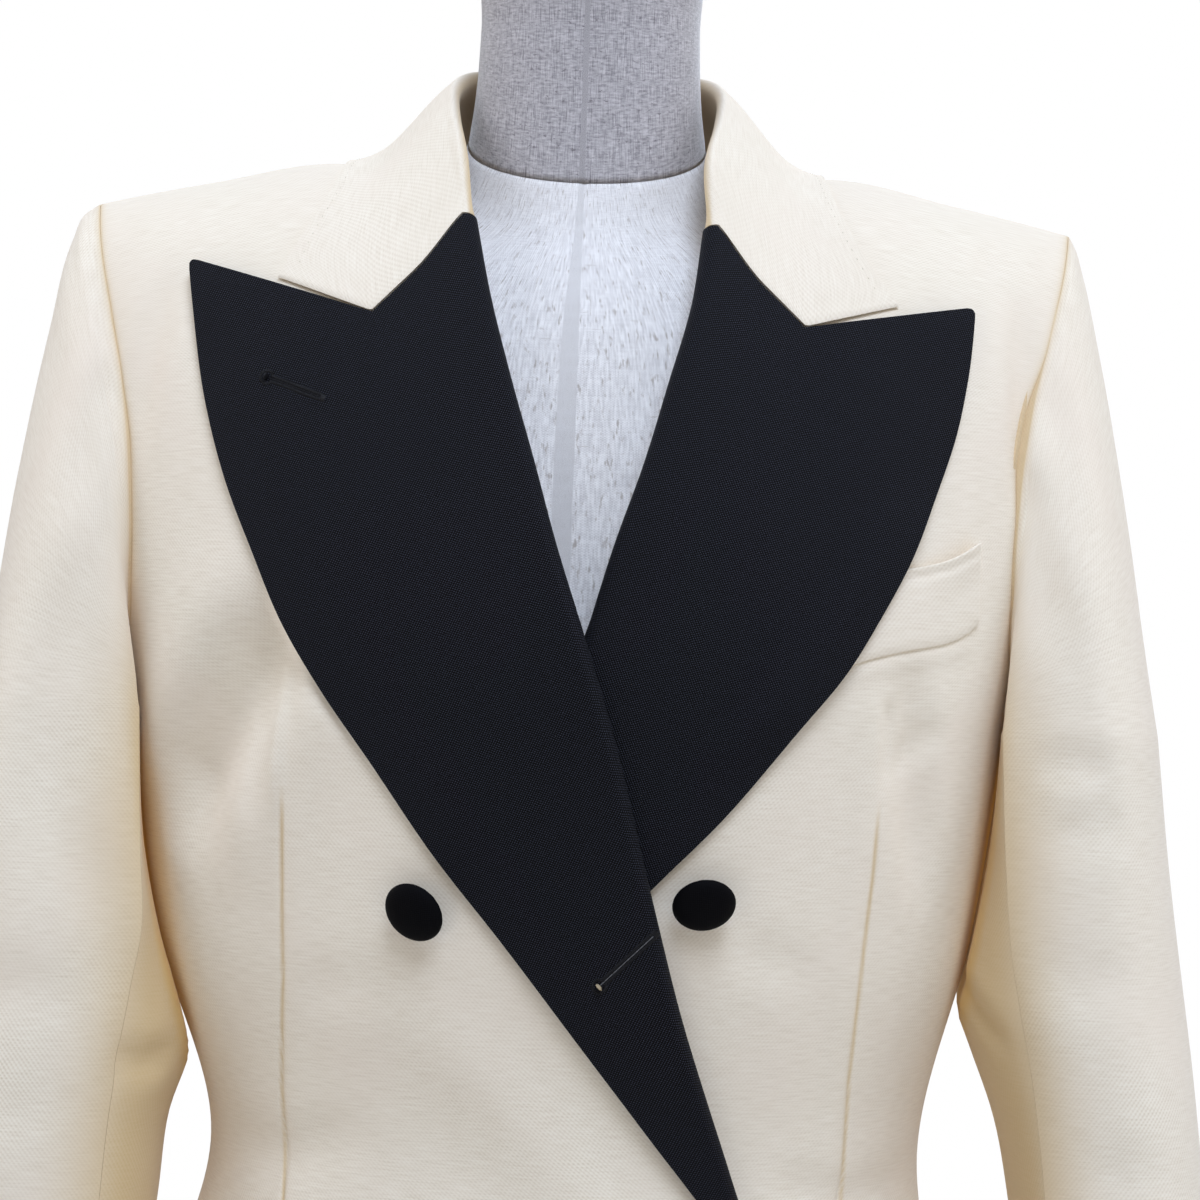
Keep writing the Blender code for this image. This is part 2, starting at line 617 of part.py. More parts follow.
def lapel_lift(flat, side):
    """How far a lapel's face stands off the front's inner face."""
    across, height = flat[..., 0], flat[..., 1]
    from_roll = np.linalg.norm(flat - flat[:, :1], axis=-1)
    bare = smooth_step((height - (LAPPED_ROLL if side > 0 else BREAK)) / ROLL_FADE)
    lift = CLOTH + LAY + LAPEL + ROLL_LIFT * bare * np.exp(-from_roll / ROLL_SOFTNESS)
    peak = flat[-1, -1]
    from_peak = np.linalg.norm(flat - peak, axis=-1)
    lift = lift + PEAK_LIFT * smooth_step(1 - from_peak / PEAK_REACH)
    if side > 0:
        low, high = WELT_LIFT_BAND
        from_edge = np.linalg.norm(flat - flat[:, -1:], axis=-1)
        beyond = np.maximum(low - height, height - high) / WELT_LIFT_FADE
        inner = WELT_LIFT_SHARE * (1 - from_edge / WELT_LIFT_DEPTH)
        near = smooth_step(1 - beyond) * smooth_step(inner)
        lift = lift + WELT_LIFT * near
    return lift


def folded_over(flat, lift, side, turns, along=None):
    """What lies on a front and turns in round its edge: rows of points and their outward directions.

    flat: rows of (across, height) from the front's edge outwards. turns: angles of the turned-in
    columns, from the far end to the roll. along: the edge's direction, where flat is one row."""
    from_edge = np.linalg.norm(flat - flat[:, :1], axis=-1)
    face, out = on_front(flat[..., 0], flat[..., 1], lift, side, smooth_step(from_edge / SEEN_FROM))
    edge, _ = on_front(flat[:, 0, 0], flat[:, 0, 1], np.full(len(flat), CLOTH / 2), side, 0)
    if along is None:
        along = unit(np.gradient(edge, axis=0))
    off = unit(np.cross(out[:, 0], along))
    off = off * np.sign(np.sum(off * (edge - face[:, FROM_ROLL]), axis=-1))[:, None]
    radius = (lift[:, 0] - CLOTH / 2)[:, None]
    rolled, outward = [], []
    for turn in turns:
        direction = out[:, 0] * np.cos(turn) + off * np.sin(turn)
        tuck = min(turn / turns[0], 1)
        rolled.append(edge + direction * (radius * (1 - tuck) + np.minimum(radius, ROLL_RADIUS) * tuck))
        outward.append(direction)
    face = np.concatenate([np.stack(rolled, 1), face], 1)
    return face, np.concatenate([np.stack(outward, 1), out], 1)


def lapel(side):
    flat = lapel_outline(side, LAPEL_ROWS, LAPEL_COLUMNS)
    turns = np.linspace(ROLL_TURN, 0, ROLL_STEPS, endpoint=False)
    face, out = folded_over(flat, lapel_lift(flat, side), side, turns)
    name = "lapel_right" if side < 0 else "lapel_left"
    return wall(name, face, -out, LAPEL, "black_cloth", side)


# ---------------------------------------------------------------- collar

def beneath(points):
    """The (around, up) of the body under points that lie on its upper half or near it."""
    x, y, z = np.moveaxis(points, -1, 0)
    level = column(BODY, 1)
    rise = (z - BUST) / (shoulder_height(x) - BUST)
    up = np.full(x.shape, 1.8)
    for _ in range(4):
        half = through(level, column(BODY, 2), up)
        ahead, behind = through(level, column(BODY, 3), up), through(level, column(BODY, 4), up)
        depth = np.where(y < 0, ahead, behind)
        turn = np.arcsin(np.clip(np.abs(x) / half, 0, 0.98) ** (ROUNDNESS / 2))
        reach = np.abs(y) / (depth * np.cos(turn) ** (2 / ROUNDNESS))
        up = 1 + np.arctan2(rise, reach) / (np.pi / 2)
    around = np.degrees(turn)
    return np.copysign(np.where(y < 0, around, 180 - around), x), up


def rest_on(points, lift):
    """Points pushed out of the body until they stand lift metres off it."""
    around, up = beneath(points)
    out = normal(around, up)
    height = np.sum((points - body(around, up)) * out, axis=-1)
    short = lift - height
    push = (short + np.sqrt(short**2 + REST_SOFTNESS**2)) / 2
    return points + out * push[..., None]


def collar_body(shares):
    """Across the collar: its thickness, and how far its outer face stands off what it lies on."""
    pressed = smooth_step((shares - FOLD_SHARE) / (1 - FOLD_SHARE))
    thickness = COLLAR + (COLLAR_EDGE - COLLAR) * pressed
    return thickness, thickness + COLLAR_LAY + (COLLAR_EDGE_LAY - COLLAR_LAY) * pressed


def collar_end(side, shares):
    """The collar's end: round the front's edge, down the gorge to the notch, and out to the corner."""
    roll_across, roll_height, notch_across, notch_height = GORGE[0 if side < 0 else 1][1:]
    corner = COLLAR_CORNER_RIGHT if side < 0 else COLLAR_CORNER_LEFT
    turned = shares < FOLD_SHARE
    fall = (shares[~turned] - FOLD_SHARE) / (1 - FOLD_SHARE)
    knots = [0, COLLAR_NOTCH_SHARE, 1]
    across = np.interp(fall, knots, [roll_across, notch_across, corner[0]])
    height = np.interp(fall, knots, [roll_height, notch_height, corner[1]])
    flat = np.stack([across, height], -1) + np.array(COLLAR_GAP) * (fall < 1)[:, None]
    from_roll = np.linalg.norm(flat - flat[0], axis=-1)
    lift = CLOTH + collar_body(shares[~turned])[1] + ROLL_LIFT * np.exp(-from_roll / ROLL_SOFTNESS)
    outline = lapel_outline(side, LAPEL_ROWS, 1)[-2:, 0]
    edge, _ = on_front(outline[:, 0], outline[:, 1], np.full(2, CLOTH / 2), side, 0)
    turns = ROLL_TURN * (1 - shares[turned] / FOLD_SHARE)
    return folded_over(flat[None], lift[None], side, turns, unit(edge[1:] - edge[:1]))[0][0]


def collar_section(seam, fold, edge, shares):
    """Points across the collar: up the stand, over the fold, and down the fall."""
    rise = unit(fold - seam)
    out = edge - fold
    out = unit(out - rise * np.dot(out, rise))
    inner = fold - (out + rise) * FOLD_RADIUS
    outer = fold + (out - rise) * FOLD_RADIUS
    middle = outer * (1 - MIDDLE_SHARE) + edge * MIDDLE_SHARE - rise * FALL_DROP
    points = np.array([seam, (seam + inner) / 2, inner, fold, outer, middle, edge])
    return through(COLLAR_KNOTS, points, shares)


def collar_half(side, shares):
    """Sections of one half, from the lapel to the nape, on the side where x is positive."""
    face = CLOTH + COLLAR_EDGE_LAY + COLLAR_EDGE
    sections = [collar_end(side, shares)]
    heights, edges = column(FRONT_EDGE, 1)[::-1], column(FRONT_EDGE, 2 if side < 0 else 3)[::-1]
    for _, seam_at, fold_x, fold_y, fold_z, edge_x, edge_z, behind in COLLAR_STATIONS:
        if behind:
            around, up = back_edge(float(seam_at))
        else:
            around, up = place(through(heights, edges, seam_at), seam_at)
        foot = body(around, up)
        inward = unit(np.array([*NECK_MIDDLE, foot[2]]) - foot)
        seam = foot + normal(around, up) * CLOTH / 2 + inward * ROLL_RADIUS
        fold = np.array([fold_x, fold_y, fold_z])
        around, up = place(edge_x, edge_z, behind)
        edge = body(around, up) + normal(around, up) * face
        sections.append(collar_section(seam, fold, edge, shares))
    return np.array(sections)


def collar(rows=40):
    shares = np.array(COLLAR_COLUMNS)
    right = collar_half(-1, shares) * np.array([-1, 1, 1])
    left = collar_half(1, shares)
    sections = np.concatenate([right, left[-2::-1]])
    apart = np.linalg.norm(np.diff(sections, axis=0), axis=-1).mean(axis=1)
    reached = np.concatenate([[0], np.cumsum(apart)])
    face = through(reached / reached[-1], sections, np.linspace(0, 1, rows + 1))
    lying = shares > FOLD_SHARE
    thickness, standing = collar_body(shares)
    face[1:-1, lying] = rest_on(face[1:-1, lying], CLOTH + standing[lying])
    inward = grid_normals(face)
    if np.sum(inward[:, -1] * (face[:, -1] - np.array(CHEST_MIDDLE))) > 0:
        inward = -inward
    return wall("collar", face, inward, thickness[:, None], "cream_cloth", 1)


# ---------------------------------------------------------------- sleeves

def squared(wave, power=SLEEVE_SQUARENESS):
    return np.sign(wave) * np.abs(wave) ** power


def arm_sections(side, turn, fine):
    """Level sections of a sleeve below its cap, downwards, each turned in at its forearm seam."""
    table = SLEEVE_RIGHT if side < 0 else SLEEVE_LEFT
    heights = column(table, 1)[::-1]
    height = np.linspace(heights[-1], heights[0], SLEEVE_ROWS * fine + 1)[:, None]
    sizes = [through(heights, column(table, index)[::-1], height) for index in range(2, 7)]
    outer, inner, seam, middle_y, half_depth = sizes
    middle, half = (outer + inner) / 2, (outer - inner) / 2
    inward = squared(np.cos(turn))
    at_seam = np.pi * FOREARM_SEAM / ARM_ROWS
    seam_inward = squared(np.cos(at_seam))
    reach = (middle - seam) / half
    under = 1 - (1 - reach) * (1 - inward) / (1 - seam_inward)
    over = reach * inward / seam_inward
    hind = np.where(turn > np.pi * 3 / 2, squared(np.cos(turn), SLEEVE_HUG), inward)
    x = middle - half * np.where(turn < at_seam, under, np.where(turn < np.pi / 2, over, hind))
    y = middle_y - half_depth * squared(np.sin(turn))
    return beside_body(np.stack(np.broadcast_arrays(x, y, height), -1), side)


def sleeve_grid(side, fine=1):
    """The sleeve's outer face: rows from the armhole to the cuff, columns round from the underarm."""
    around = ARM_ROWS * fine
    share = np.linspace(0, 1, around + 1)
    loop = np.concatenate([armhole(share, False), armhole(share, True)[-2:0:-1]])
    start = body(loop[:, 0], loop[:, 1])
    out = normal(loop[:, 0], loop[:, 1])
    radial = unit((start - np.array(ARMHOLE_MIDDLE)) * np.array([0, 1, 1]))
    start = start + radial * CLOTH
    turn = np.arange(2 * around) * np.pi / around
    start[:, 0] += SEAM + CLOTH * np.maximum(out[:, 0], 0) + UNDERARM_CLEAR * np.cos(turn / 2) ** 2
    arm = arm_sections(side, turn, fine)
    rows = np.arange((len(CAP_ROWS) - 1) * fine) / fine
    down = np.interp(rows, np.arange(len(CAP_ROWS)), CAP_ROWS)
    bulge = np.interp(down, column(SLEEVE_HEAD, 0), column(SLEEVE_HEAD, 1 if side < 0 else 2))
    high = np.sin(turn / 2) ** 2
    push = np.stack([high, -HEAD_FORWARD * np.sin(turn), HEAD_UP * high], -1)
    cap = []
    for part, swollen in zip(down, bulge):
        ease = part + HEAD_EASE * np.sin(np.pi * part) * high[:, None]
        cap.append(start * (1 - ease) + arm[0] * ease + push * swollen)
    cap = np.array(cap)
    cap[1:] = beside_body(cap[1:], side)
    return np.concatenate([cap, arm]), radial


def beside_body(points, side):
    """Sleeve points pushed sideways until they are clear of the body."""
    up = np.clip((points[..., 2] - HEM) / (BUST - HEM), 0, 1)
    level = column(BODY, 1)
    half = through(level, column(BODY, 2), up) + side * sway(points[..., 2])
    ahead, behind = through(level, column(BODY, 3), up), through(level, column(BODY, 4), up)
    depth = np.where(points[..., 1] < 0, ahead, behind)
    deep = np.clip(np.abs(points[..., 1]) / (depth + SLEEVE_CLEAR), 0, 1)
    wide = (half + SLEEVE_CLEAR) * (1 - deep**ROUNDNESS) ** (1 / ROUNDNESS)
    below = smooth_step((PUSH_BELOW - points[..., 2]) / PUSH_FADE)
    short = wide * below - points[..., 0]
    push = (short + np.sqrt(short**2 + PUSH_SOFTNESS**2)) / 2 * below
    moved = points.copy()
    moved[..., 0] += push
    return moved


def squared_off(edge, beside):
    """Unit vectors from an edge towards the points beside it, square to the edge."""
    along = unit(np.gradient(edge, axis=0))
    across = beside - edge
    return unit(across - along * np.sum(across * along, axis=-1, keepdims=True))


def sleeve(side):
    face, radial = sleeve_grid(side)
    inward = grid_normals(face, ring=True)
    centre = face.mean(axis=1, keepdims=True)
    if np.sum(inward * (face - centre)) > 0:
        inward = -inward
    inward[0] = -radial
    total = 2 * ARM_ROWS
    word = "right" if side < 0 else "left"
    top = list(range(FOREARM_SEAM, total - HIND_SEAM + 1))
    under = list(range(total - HIND_SEAM, total)) + list(range(FOREARM_SEAM + 1))
    for name, columns in (("top_sleeve_", top), ("under_sleeve_", under)):
        part = face[:, columns].copy()
        part[:, 0] += squared_off(part[:, 0], part[:, 1]) * SLEEVE_SEAM / 2
        part[:, -1] += squared_off(part[:, -1], part[:, -2]) * SLEEVE_SEAM / 2
        wall(name + word, part, inward[:, columns], CLOTH, "cream_cloth", side, swaying=False)


# ---------------------------------------------------------------- pocket and buttons

def breast_pocket(columns=6, rows=3):
    s = np.linspace(0, 1, columns + 1)[None, :]
    t = np.linspace(0, 1, rows + 1)[:, None]
    (inner_low, inner_high), (outer_low, outer_high) = np.array(WELT_INNER), np.array(WELT_OUTER)
    inner = inner_low + (inner_high - inner_low) * t[..., None]
    outer = outer_low + (outer_high - outer_low) * t[..., None]
    flat = inner * (1 - s[..., None]) + outer * s[..., None]
    across = flat[..., 0]
    height = flat[..., 1] - WELT_SAG * np.sin(np.pi * s) * (1 - t)
    face, out = on_front(across, height, np.full(across.shape, 2 * CLOTH + LAY), 1)
    wall("pocket_welt", face, -out, CLOTH, "cream_cloth", 1)


def button(name, across, height, side, droop, swing):
    """A covered button whose shank stands on the front."""
    layer = CLOTH + SEAM
    if name == "button_close_left":
        layer += CLOSING_LAYER
    foot, out = on_front(np.array(across), np.array(height), np.array(layer), side)
    foot = foot + np.array([side * sway(height), 0, 0])
    tilt = math.radians(droop)
    lean = math.radians(swing)
    forward = unit(out * math.cos(tilt) + np.array([math.sin(lean), 0, -math.cos(lean)]) * math.sin(tilt))
    first = unit(np.cross(np.array([0.0, 0.0, 1.0]), forward))
    second = np.cross(forward, first)
    centre = foot + out * SHANK_LENGTH
    made = bmesh.new()
    rings = []
    for radius, ahead in BUTTON_PROFILE:
        middle = centre + forward * (ahead + SHANK_TOP)
        if radius == 0:
            rings.append([made.verts.new(middle)])
        else:
            rings.append(button_ring(made, middle, radius, first, second))
    foot_first = unit(np.cross(np.array([0.0, 0.0, 1.0]), out))
    rings.append(button_ring(made, foot, SHANK_RADIUS, foot_first, np.cross(out, foot_first)))
    for ring, following in zip(rings, rings[1:]):
        skin(made, ring, following)
    made.faces.new(rings[-1])
    solid(name, made, "black_cloth", side)


def button_ring(made, middle, radius, first, second):
    ring = []
    for turn in np.arange(BUTTON_SIDES) * 2 * np.pi / BUTTON_SIDES:
        ring.append(made.verts.new(middle + radius * (first * np.cos(turn) + second * np.sin(turn))))
    return ring


# ---------------------------------------------------------------- dress form and stand

def form_solid(name, table, levels, finish):
    heights = column(table, 1)
    height = np.concatenate([np.linspace(low, high, levels, endpoint=False)
                             for low, high in zip(heights, heights[1:])] + [heights[-1:]])
    half, ahead, behind, tilt = [through(heights, column(table, index), height) for index in (2, 3, 4, 5)]
    made = bmesh.new()
    rings = []
    for k, level in enumerate(height):
        ring = []
        for turn in np.arange(FORM_SIDES) * 2 * np.pi / FORM_SIDES:
            x = half[k] * np.copysign(abs(math.sin(turn)) ** (2 / FORM_ROUNDNESS), math.sin(turn))
            depth = ahead[k] if math.cos(turn) > 0 else behind[k]
            y = -depth * np.copysign(abs(math.cos(turn)) ** (2 / FORM_ROUNDNESS), math.cos(turn))
            ring.append(made.verts.new((x, y, level + tilt[k] * y)))
        rings.append(ring)
    for ring, following in zip(rings, rings[1:]):
        skin(made, ring, following)
    made.faces.new(rings[0])
    made.faces.new(rings[-1])
    return solid(name, made, finish)


def stand():
    axes = np.eye(3)
    floor = np.zeros(3)
    socket_low = FORM_BOTTOM - SEAM - SOCKET_THICKNESS
    edge = STAND_EDGE
    base = [(BASE_RADIUS - edge, 0), (BASE_RADIUS, edge), (BASE_RADIUS, BASE_THICKNESS - edge),
            (BASE_RADIUS - edge, BASE_THICKNESS), (BASE_HUB_RADIUS + edge, BASE_THICKNESS + edge),
            (BASE_HUB_RADIUS - edge, BASE_HUB_HEIGHT)]
    turned("base", base, floor, axes, 48, "dark_metal")
    pole = [(POLE_RADIUS, BASE_HUB_HEIGHT + SEAM), (POLE_RADIUS, socket_low - SEAM)]
    turned("pole", pole, floor, axes, 20, "dark_metal")
    socket = [(SOCKET_RADIUS - edge, socket_low), (SOCKET_RADIUS, socket_low + edge),
              (SOCKET_RADIUS, socket_low + SOCKET_THICKNESS)]
    turned("socket", socket, floor, axes, 24, "beech")


def build():
    for old in list(bpy.data.objects):
        bpy.data.objects.remove(old, do_unlink=True)
    for side in (-1, 1):
        front(side)
        back(side)
        sleeve(side)
        lapel(side)
    collar()
    breast_pocket()
    for row in BUTTONS:
        button(*row)
    form_solid("form_torso", FORM, 2, "linen")
    form_solid("form_neck", NECK, 1, "neck_linen")
    stand()


build()
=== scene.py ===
"""How the double breasted blazer on its dress form looks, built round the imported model.

Metres, +Z up. The front faces -Y, and +X is the wearer's left. The shape tables and the functions
that go with them describe the same surfaces as the solids do, which this script divides more
finely, creases, sews and gives their cloth. A side is -1 on the wearer's right and 1 on their left.
A side's pieces are worked out with "across" counted from the centre line towards that side, and
those of the right side are mirrored at the end.
"""
import math

import bmesh
import bpy
import numpy as np
from mathutils import Matrix, Vector
from mathutils.bvhtree import BVHTree


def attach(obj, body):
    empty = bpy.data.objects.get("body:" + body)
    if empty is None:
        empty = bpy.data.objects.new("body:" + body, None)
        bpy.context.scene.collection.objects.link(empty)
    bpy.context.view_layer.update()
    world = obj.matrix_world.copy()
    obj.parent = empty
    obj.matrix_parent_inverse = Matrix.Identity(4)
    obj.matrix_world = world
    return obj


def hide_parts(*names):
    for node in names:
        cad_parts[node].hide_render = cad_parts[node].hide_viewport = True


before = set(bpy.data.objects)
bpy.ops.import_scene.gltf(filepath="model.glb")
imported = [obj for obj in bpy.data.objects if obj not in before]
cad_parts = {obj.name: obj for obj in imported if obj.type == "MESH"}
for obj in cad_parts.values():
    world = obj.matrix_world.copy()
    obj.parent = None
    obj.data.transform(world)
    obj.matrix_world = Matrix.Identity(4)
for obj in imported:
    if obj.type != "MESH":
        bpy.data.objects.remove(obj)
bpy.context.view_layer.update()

SIDES = ((-1, "right"), (1, "left"))

# ---- thicknesses and clearances
CLOTH = 0.0016             # a panel's wall
LAPEL = 0.0026             # two layers of cloth and their canvas
COLLAR = 0.0022            # at its fold
COLLAR_EDGE = 0.0010       # at its outer edge, where its layers are pressed
SEAM = 0.0001              # between pieces that are sewn together
SLEEVE_SEAM = 0.0001       # between a sleeve's two pieces
LAY = 0.0006               # under what lies on a panel
COLLAR_LAY = 0.0008        # under the collar, where it bends round the neck
COLLAR_EDGE_LAY = 0.0002   # and under its outer edge
LAPPED = 0.0062            # how far the right front is lifted where it laps over the left lapel
LAPPED_LOW = 0.0030        # the same below the lapels
LAP_RISE = 0.090           # the width over which the right front climbs to that height
SLEEVE_CLEAR = 0.0044      # between the body's inner face and the sleeve's outer face
UNDERARM_CLEAR = 0.0008    # more than a seam, where the sleeve bends away from the armhole
SHOULDER_GAP = 0.0003      # half the shoulder seam, in the body's measure of up
REST_SOFTNESS = 0.0015     # how gradually the collar comes to rest on the body
PUSH_SOFTNESS = 0.0020     # and the sleeves on its sides
PUSH_BELOW = 1.170         # the height from which the sleeves are kept clear of the body
PUSH_FADE = 0.012

# ---- heights above the floor
HEM = 0.700
BUST = 1.150
BREAK = 0.940              # where the lapels end
LAP_LOW = 0.880            # from here down the two fronts lie close together

# ---- shape of the body
ROUNDNESS = 2.25           # of a level section: 2 is an ellipse, more is squarer
FRONT_RISE = 2.1           # how squarely the front turns over the shoulder
BACK_RISE = 2.3
SIDE_SEAM = 94.0           # degrees round from the centre front
SIDE_RADIUS = 0.19         # of a level section there
SWAY = 0.0045              # the waist hangs this far towards the wearer's left
SWAY_HEIGHT = 0.965
SWAY_REACH = 0.065

BODY = (
    # level, up, half the width, and depth in front and behind
    ("hem",      0.000, 0.196,  0.142, 0.142),
    ("hip",      0.220, 0.190,  0.140, 0.140),
    ("high hip", 0.400, 0.171,  0.130, 0.122),
    ("waist",    0.589, 0.1505, 0.121, 0.102),
    ("ribs",     0.800, 0.174,  0.136, 0.110),
    ("bust",     1.000, 0.187,  0.145, 0.118),
    ("chest",    1.350, 0.207,  0.144, 0.121),
    ("yoke",     1.700, 0.226,  0.140, 0.122),
    ("shoulder", 2.000, 0.236,  0.138, 0.122),
)
SHOULDER_LINE = (
    # place, across, height
    ("centre",         0.000, 1.4130),
    ("neck",           0.045, 1.3990),
    ("neck point",     0.068, 1.3893),
    ("under collar",   0.090, 1.3830),
    ("collar edge",    0.108, 1.3838),
    ("middle",         0.155, 1.3745),
    ("shoulder point", 0.211, 1.3620),
    ("end",            0.240, 1.3540),
)
ARMHOLE = (
    # place, share of the way up, across and height in front, across and height behind
    ("underarm",       0.00, 0.230,  1.1630, 0.230,  1.1630),
    ("low",            0.15, 0.1835, 1.1760, 0.1850, 1.1790),
    ("lower",          0.30, 0.1808, 1.2100, 0.1835, 1.2160),
    ("pitch",          0.45, 0.1822, 1.2480, 0.1850, 1.2560),
    ("middle",         0.60, 0.1872, 1.2830, 0.1890, 1.2900),
    ("high",           0.75, 0.1950, 1.3130, 0.1960, 1.3180),
    ("top",            0.90, 0.2040, 1.3460, 0.2040, 1.3470),
    ("shoulder point", 1.00, 0.2092, 1.3624, 0.2092, 1.3624),
)
FRONT_EDGE = (
    # place, height, and how far across each front's edge or roll line is, right and left
    ("hem",          0.7000, -0.0765, -0.0765),
    ("high hip",     0.8600, -0.0765, -0.0765),
    ("break",        0.9400, -0.0725, -0.0730),
    ("waist",        0.9630, -0.0640, -0.0660),
    ("ribs",         1.0240, -0.0464, -0.0460),
    ("show buttons", 1.0900, -0.0296, -0.0240),
    ("under the V",  1.1500, -0.0137, -0.0030),
    ("V",            1.1850, -0.0020, 0.0105),
    ("near the V",   1.2200, 0.0100,  0.0210),
    ("above the V",  1.2500, 0.0190,  0.0310),
    ("chest",        1.2850, 0.0300,  0.0405),
    ("upper roll",   1.3180, 0.0395,  0.0490),
    ("gorge",        1.3510, 0.0470,  0.0530),
    ("shoulder",     1.3900, 0.0660,  0.0660),
)
NECK_HALF = 0.0660         # the back neckline, half an oval seen from above
NECK_DEPTH = 0.0640
NAPE_ROW = 24              # the back panels' row that meets the nape, with the neckline above it

# ---- lapels
LAPEL_OUTER = {            # for each side, (across, height) from the break up to the peak
    -1: (
        (-0.0690, 0.9400), (-0.0530, 0.9632), (-0.0184, 1.0113), (0.0225, 1.0660),
        (0.0509, 1.1003), (0.0748, 1.1326), (0.0964, 1.1611), (0.1138, 1.1879),
        (0.1266, 1.2145), (0.1396, 1.2431), (0.1503, 1.2756), (0.1590, 1.3176),
        (0.1623, 1.3360),
    ),
    1: (
        (-0.0690, 0.9400), (-0.0560, 0.9660), (-0.0290, 1.0120), (0.0060, 1.0540),
        (0.0355, 1.0872), (0.0632, 1.1160), (0.0922, 1.1517), (0.1105, 1.1745),
        (0.1233, 1.1958), (0.1360, 1.2200), (0.1453, 1.2446), (0.1545, 1.2720),
        (0.1592, 1.2947), (0.1627, 1.3255),
    ),
}
GORGE = {                  # where the roll and the notch are, across and up
    -1: ((0.0470, 1.3510), (0.0831, 1.3129)),
    1: ((0.0530, 1.3495), (0.0908, 1.3124)),
}
NOTCH_SHARE = 0.4          # of the lapel's width that is sewn to the collar
GORGE_FREE = 0.010         # the front's edge is followed up to this far below the roll's top
ROLL_RADIUS = 0.0042       # of the lapel's face round the front's edge
ROLL_TURN = 1.75           # how far round, in radians, the lapel turns in at its roll
FROM_ROLL = 3              # columns from the roll to one that is well on the front
SEEN_FROM = 0.030          # past this distance from the roll, an outline is kept as seen from ahead
ROLL_LIFT = 0.0022         # how much more the lapel stands off along the roll line
ROLL_SOFTNESS = 0.022      # how far in from the roll line that lift fades
LAPPED_ROLL = 1.190        # the left lapel's roll lies pressed below this height
ROLL_FADE = 0.050
PEAK_LIFT = 0.0025         # the peaks stand a little off the chest
PEAK_REACH = 0.045

# ---- collar, half of it: the fold's line, and the outer edge lying on the shoulders
COLLAR_STATIONS = (
    # place, the seam's height or the back's row, the fold's x, y and z, the edge's x and z, behind
    ("lapel side", 1.3660, (0.0522, -0.0670, 1.3850), (0.1150, 1.3430), False),
    ("front neck", 1.3800, (0.0565, -0.0380, 1.4050), (0.1060, 1.3625), False),
    ("shoulder",   1.3900, (0.0570, -0.0020, 1.4235), (0.0990, 1.3840), False),
    ("back neck",  26,     (0.0450, 0.0390, 1.4340),  (0.0820, 1.3720), True),
    ("nape side",  25,     (0.0245, 0.0545, 1.4365),  (0.0440, 1.3700), True),
    ("nape",       24,     (0.0000, 0.0600, 1.4375),  (0.0000, 1.3690), True),
)
COLLAR_CORNER = {-1: (0.1233, 1.3268), 1: (0.1300, 1.3232)}   # its outer edge's ends, in front
COLLAR_GAP = (0.0006, 0.0006)   # between the collar's end and the lapel, across and up
COLLAR_NOTCH_SHARE = 0.424 # of the fall's width that is sewn to the lapel
FOLD_SHARE = 0.34          # of the way across the collar where its fold ends and its fall starts
FOLD_RADIUS = 0.0036
FALL_DROP = 0.006          # the fall drops from its fold before it lies on the shoulder
MIDDLE_SHARE = 0.6         # how far down the fall that drop is deepest
COLLAR_KNOTS = (0, 0.10, 0.20, 0.27, FOLD_SHARE, 0.72, 1)   # foot, stand, fold, fall and edge
NECK_MIDDLE = (0.0, 0.005)
CHEST_MIDDLE = (0.0, 0.0, 1.3)   # the collar's edge faces away from here

# ---- sleeves: level sections of each side's, from the cuff up to the underarm
SLEEVES = {
    # level, height, outer, inner, seam, middle_y, half_depth
    -1: (
        ("cuff",        0.776,  0.2850, 0.1940, 0.2080, -0.060,  0.0460),
        ("forearm",     0.860,  0.2790, 0.1800, 0.1950, -0.053,  0.0470),
        ("below elbow", 0.942,  0.2725, 0.1660, 0.1840, -0.0455, 0.0505),
        ("",            0.976,  0.2690, 0.1630, 0.1815, -0.043,  0.0530),
        ("elbow",       1.015,  0.2652, 0.1525, 0.1770, -0.039,  0.0575),
        ("",            1.036,  0.2631, 0.1560, 0.1735, -0.036,  0.0600),
        ("",            1.060,  0.2607, 0.1650, 0.1700, -0.031,  0.0650),
        ("above elbow", 1.090,  0.2577, 0.1730, 0.1722, -0.024,  0.0700),
        ("upper arm",   1.150,  0.2500, 0.1780, 0.1752, -0.014,  0.0760),
    ),
    1: (
        ("cuff",        0.776,  0.2850, 0.2060, 0.2190, -0.052,  0.0530),
        ("forearm",     0.860,  0.2815, 0.2010, 0.2130, -0.045,  0.0570),
        ("below elbow", 0.950,  0.2748, 0.1945, 0.2028, -0.034,  0.0620),
        ("",            0.985,  0.2710, 0.1872, 0.1985, -0.032,  0.0645),
        ("",            1.016,  0.2672, 0.1755, 0.1935, -0.030,  0.0670),
        ("elbow",       1.0385, 0.2642, 0.1670, 0.1889, -0.027,  0.0695),
        ("",            1.060,  0.2612, 0.1690, 0.1850, -0.024,  0.0710),
        ("above elbow", 1.090,  0.2571, 0.1750, 0.1822, -0.020,  0.0730),
        ("upper arm",   1.150,  0.2506, 0.1800, 0.1790, -0.013,  0.0760),
    ),
}
SLEEVE_HEAD = (            # share of the way down the cap, and its swell past a straight run, right and left
    (0.0, 0.0, 0.0), (0.02, 0.005, 0.0018), (0.06, 0.0076, 0.003),
    (0.2, 0.0084, 0.0044), (0.45, 0.007, 0.004), (0.75, 0.0028, 0.0016),
    (1.0, 0.0, 0.0),
)
HEAD_FORWARD = 0.80        # how much of that swell goes forward and back, and how much up
HEAD_UP = 0.25
HEAD_EASE = 0.10           # how much sooner the cap's top runs down into the arm
CAP_ROWS = (0.0, 0.02, 0.06, 0.16, 0.32, 0.52, 0.76, 1.0)
ARMHOLE_MIDDLE = (0.19, 0.0, 1.262)
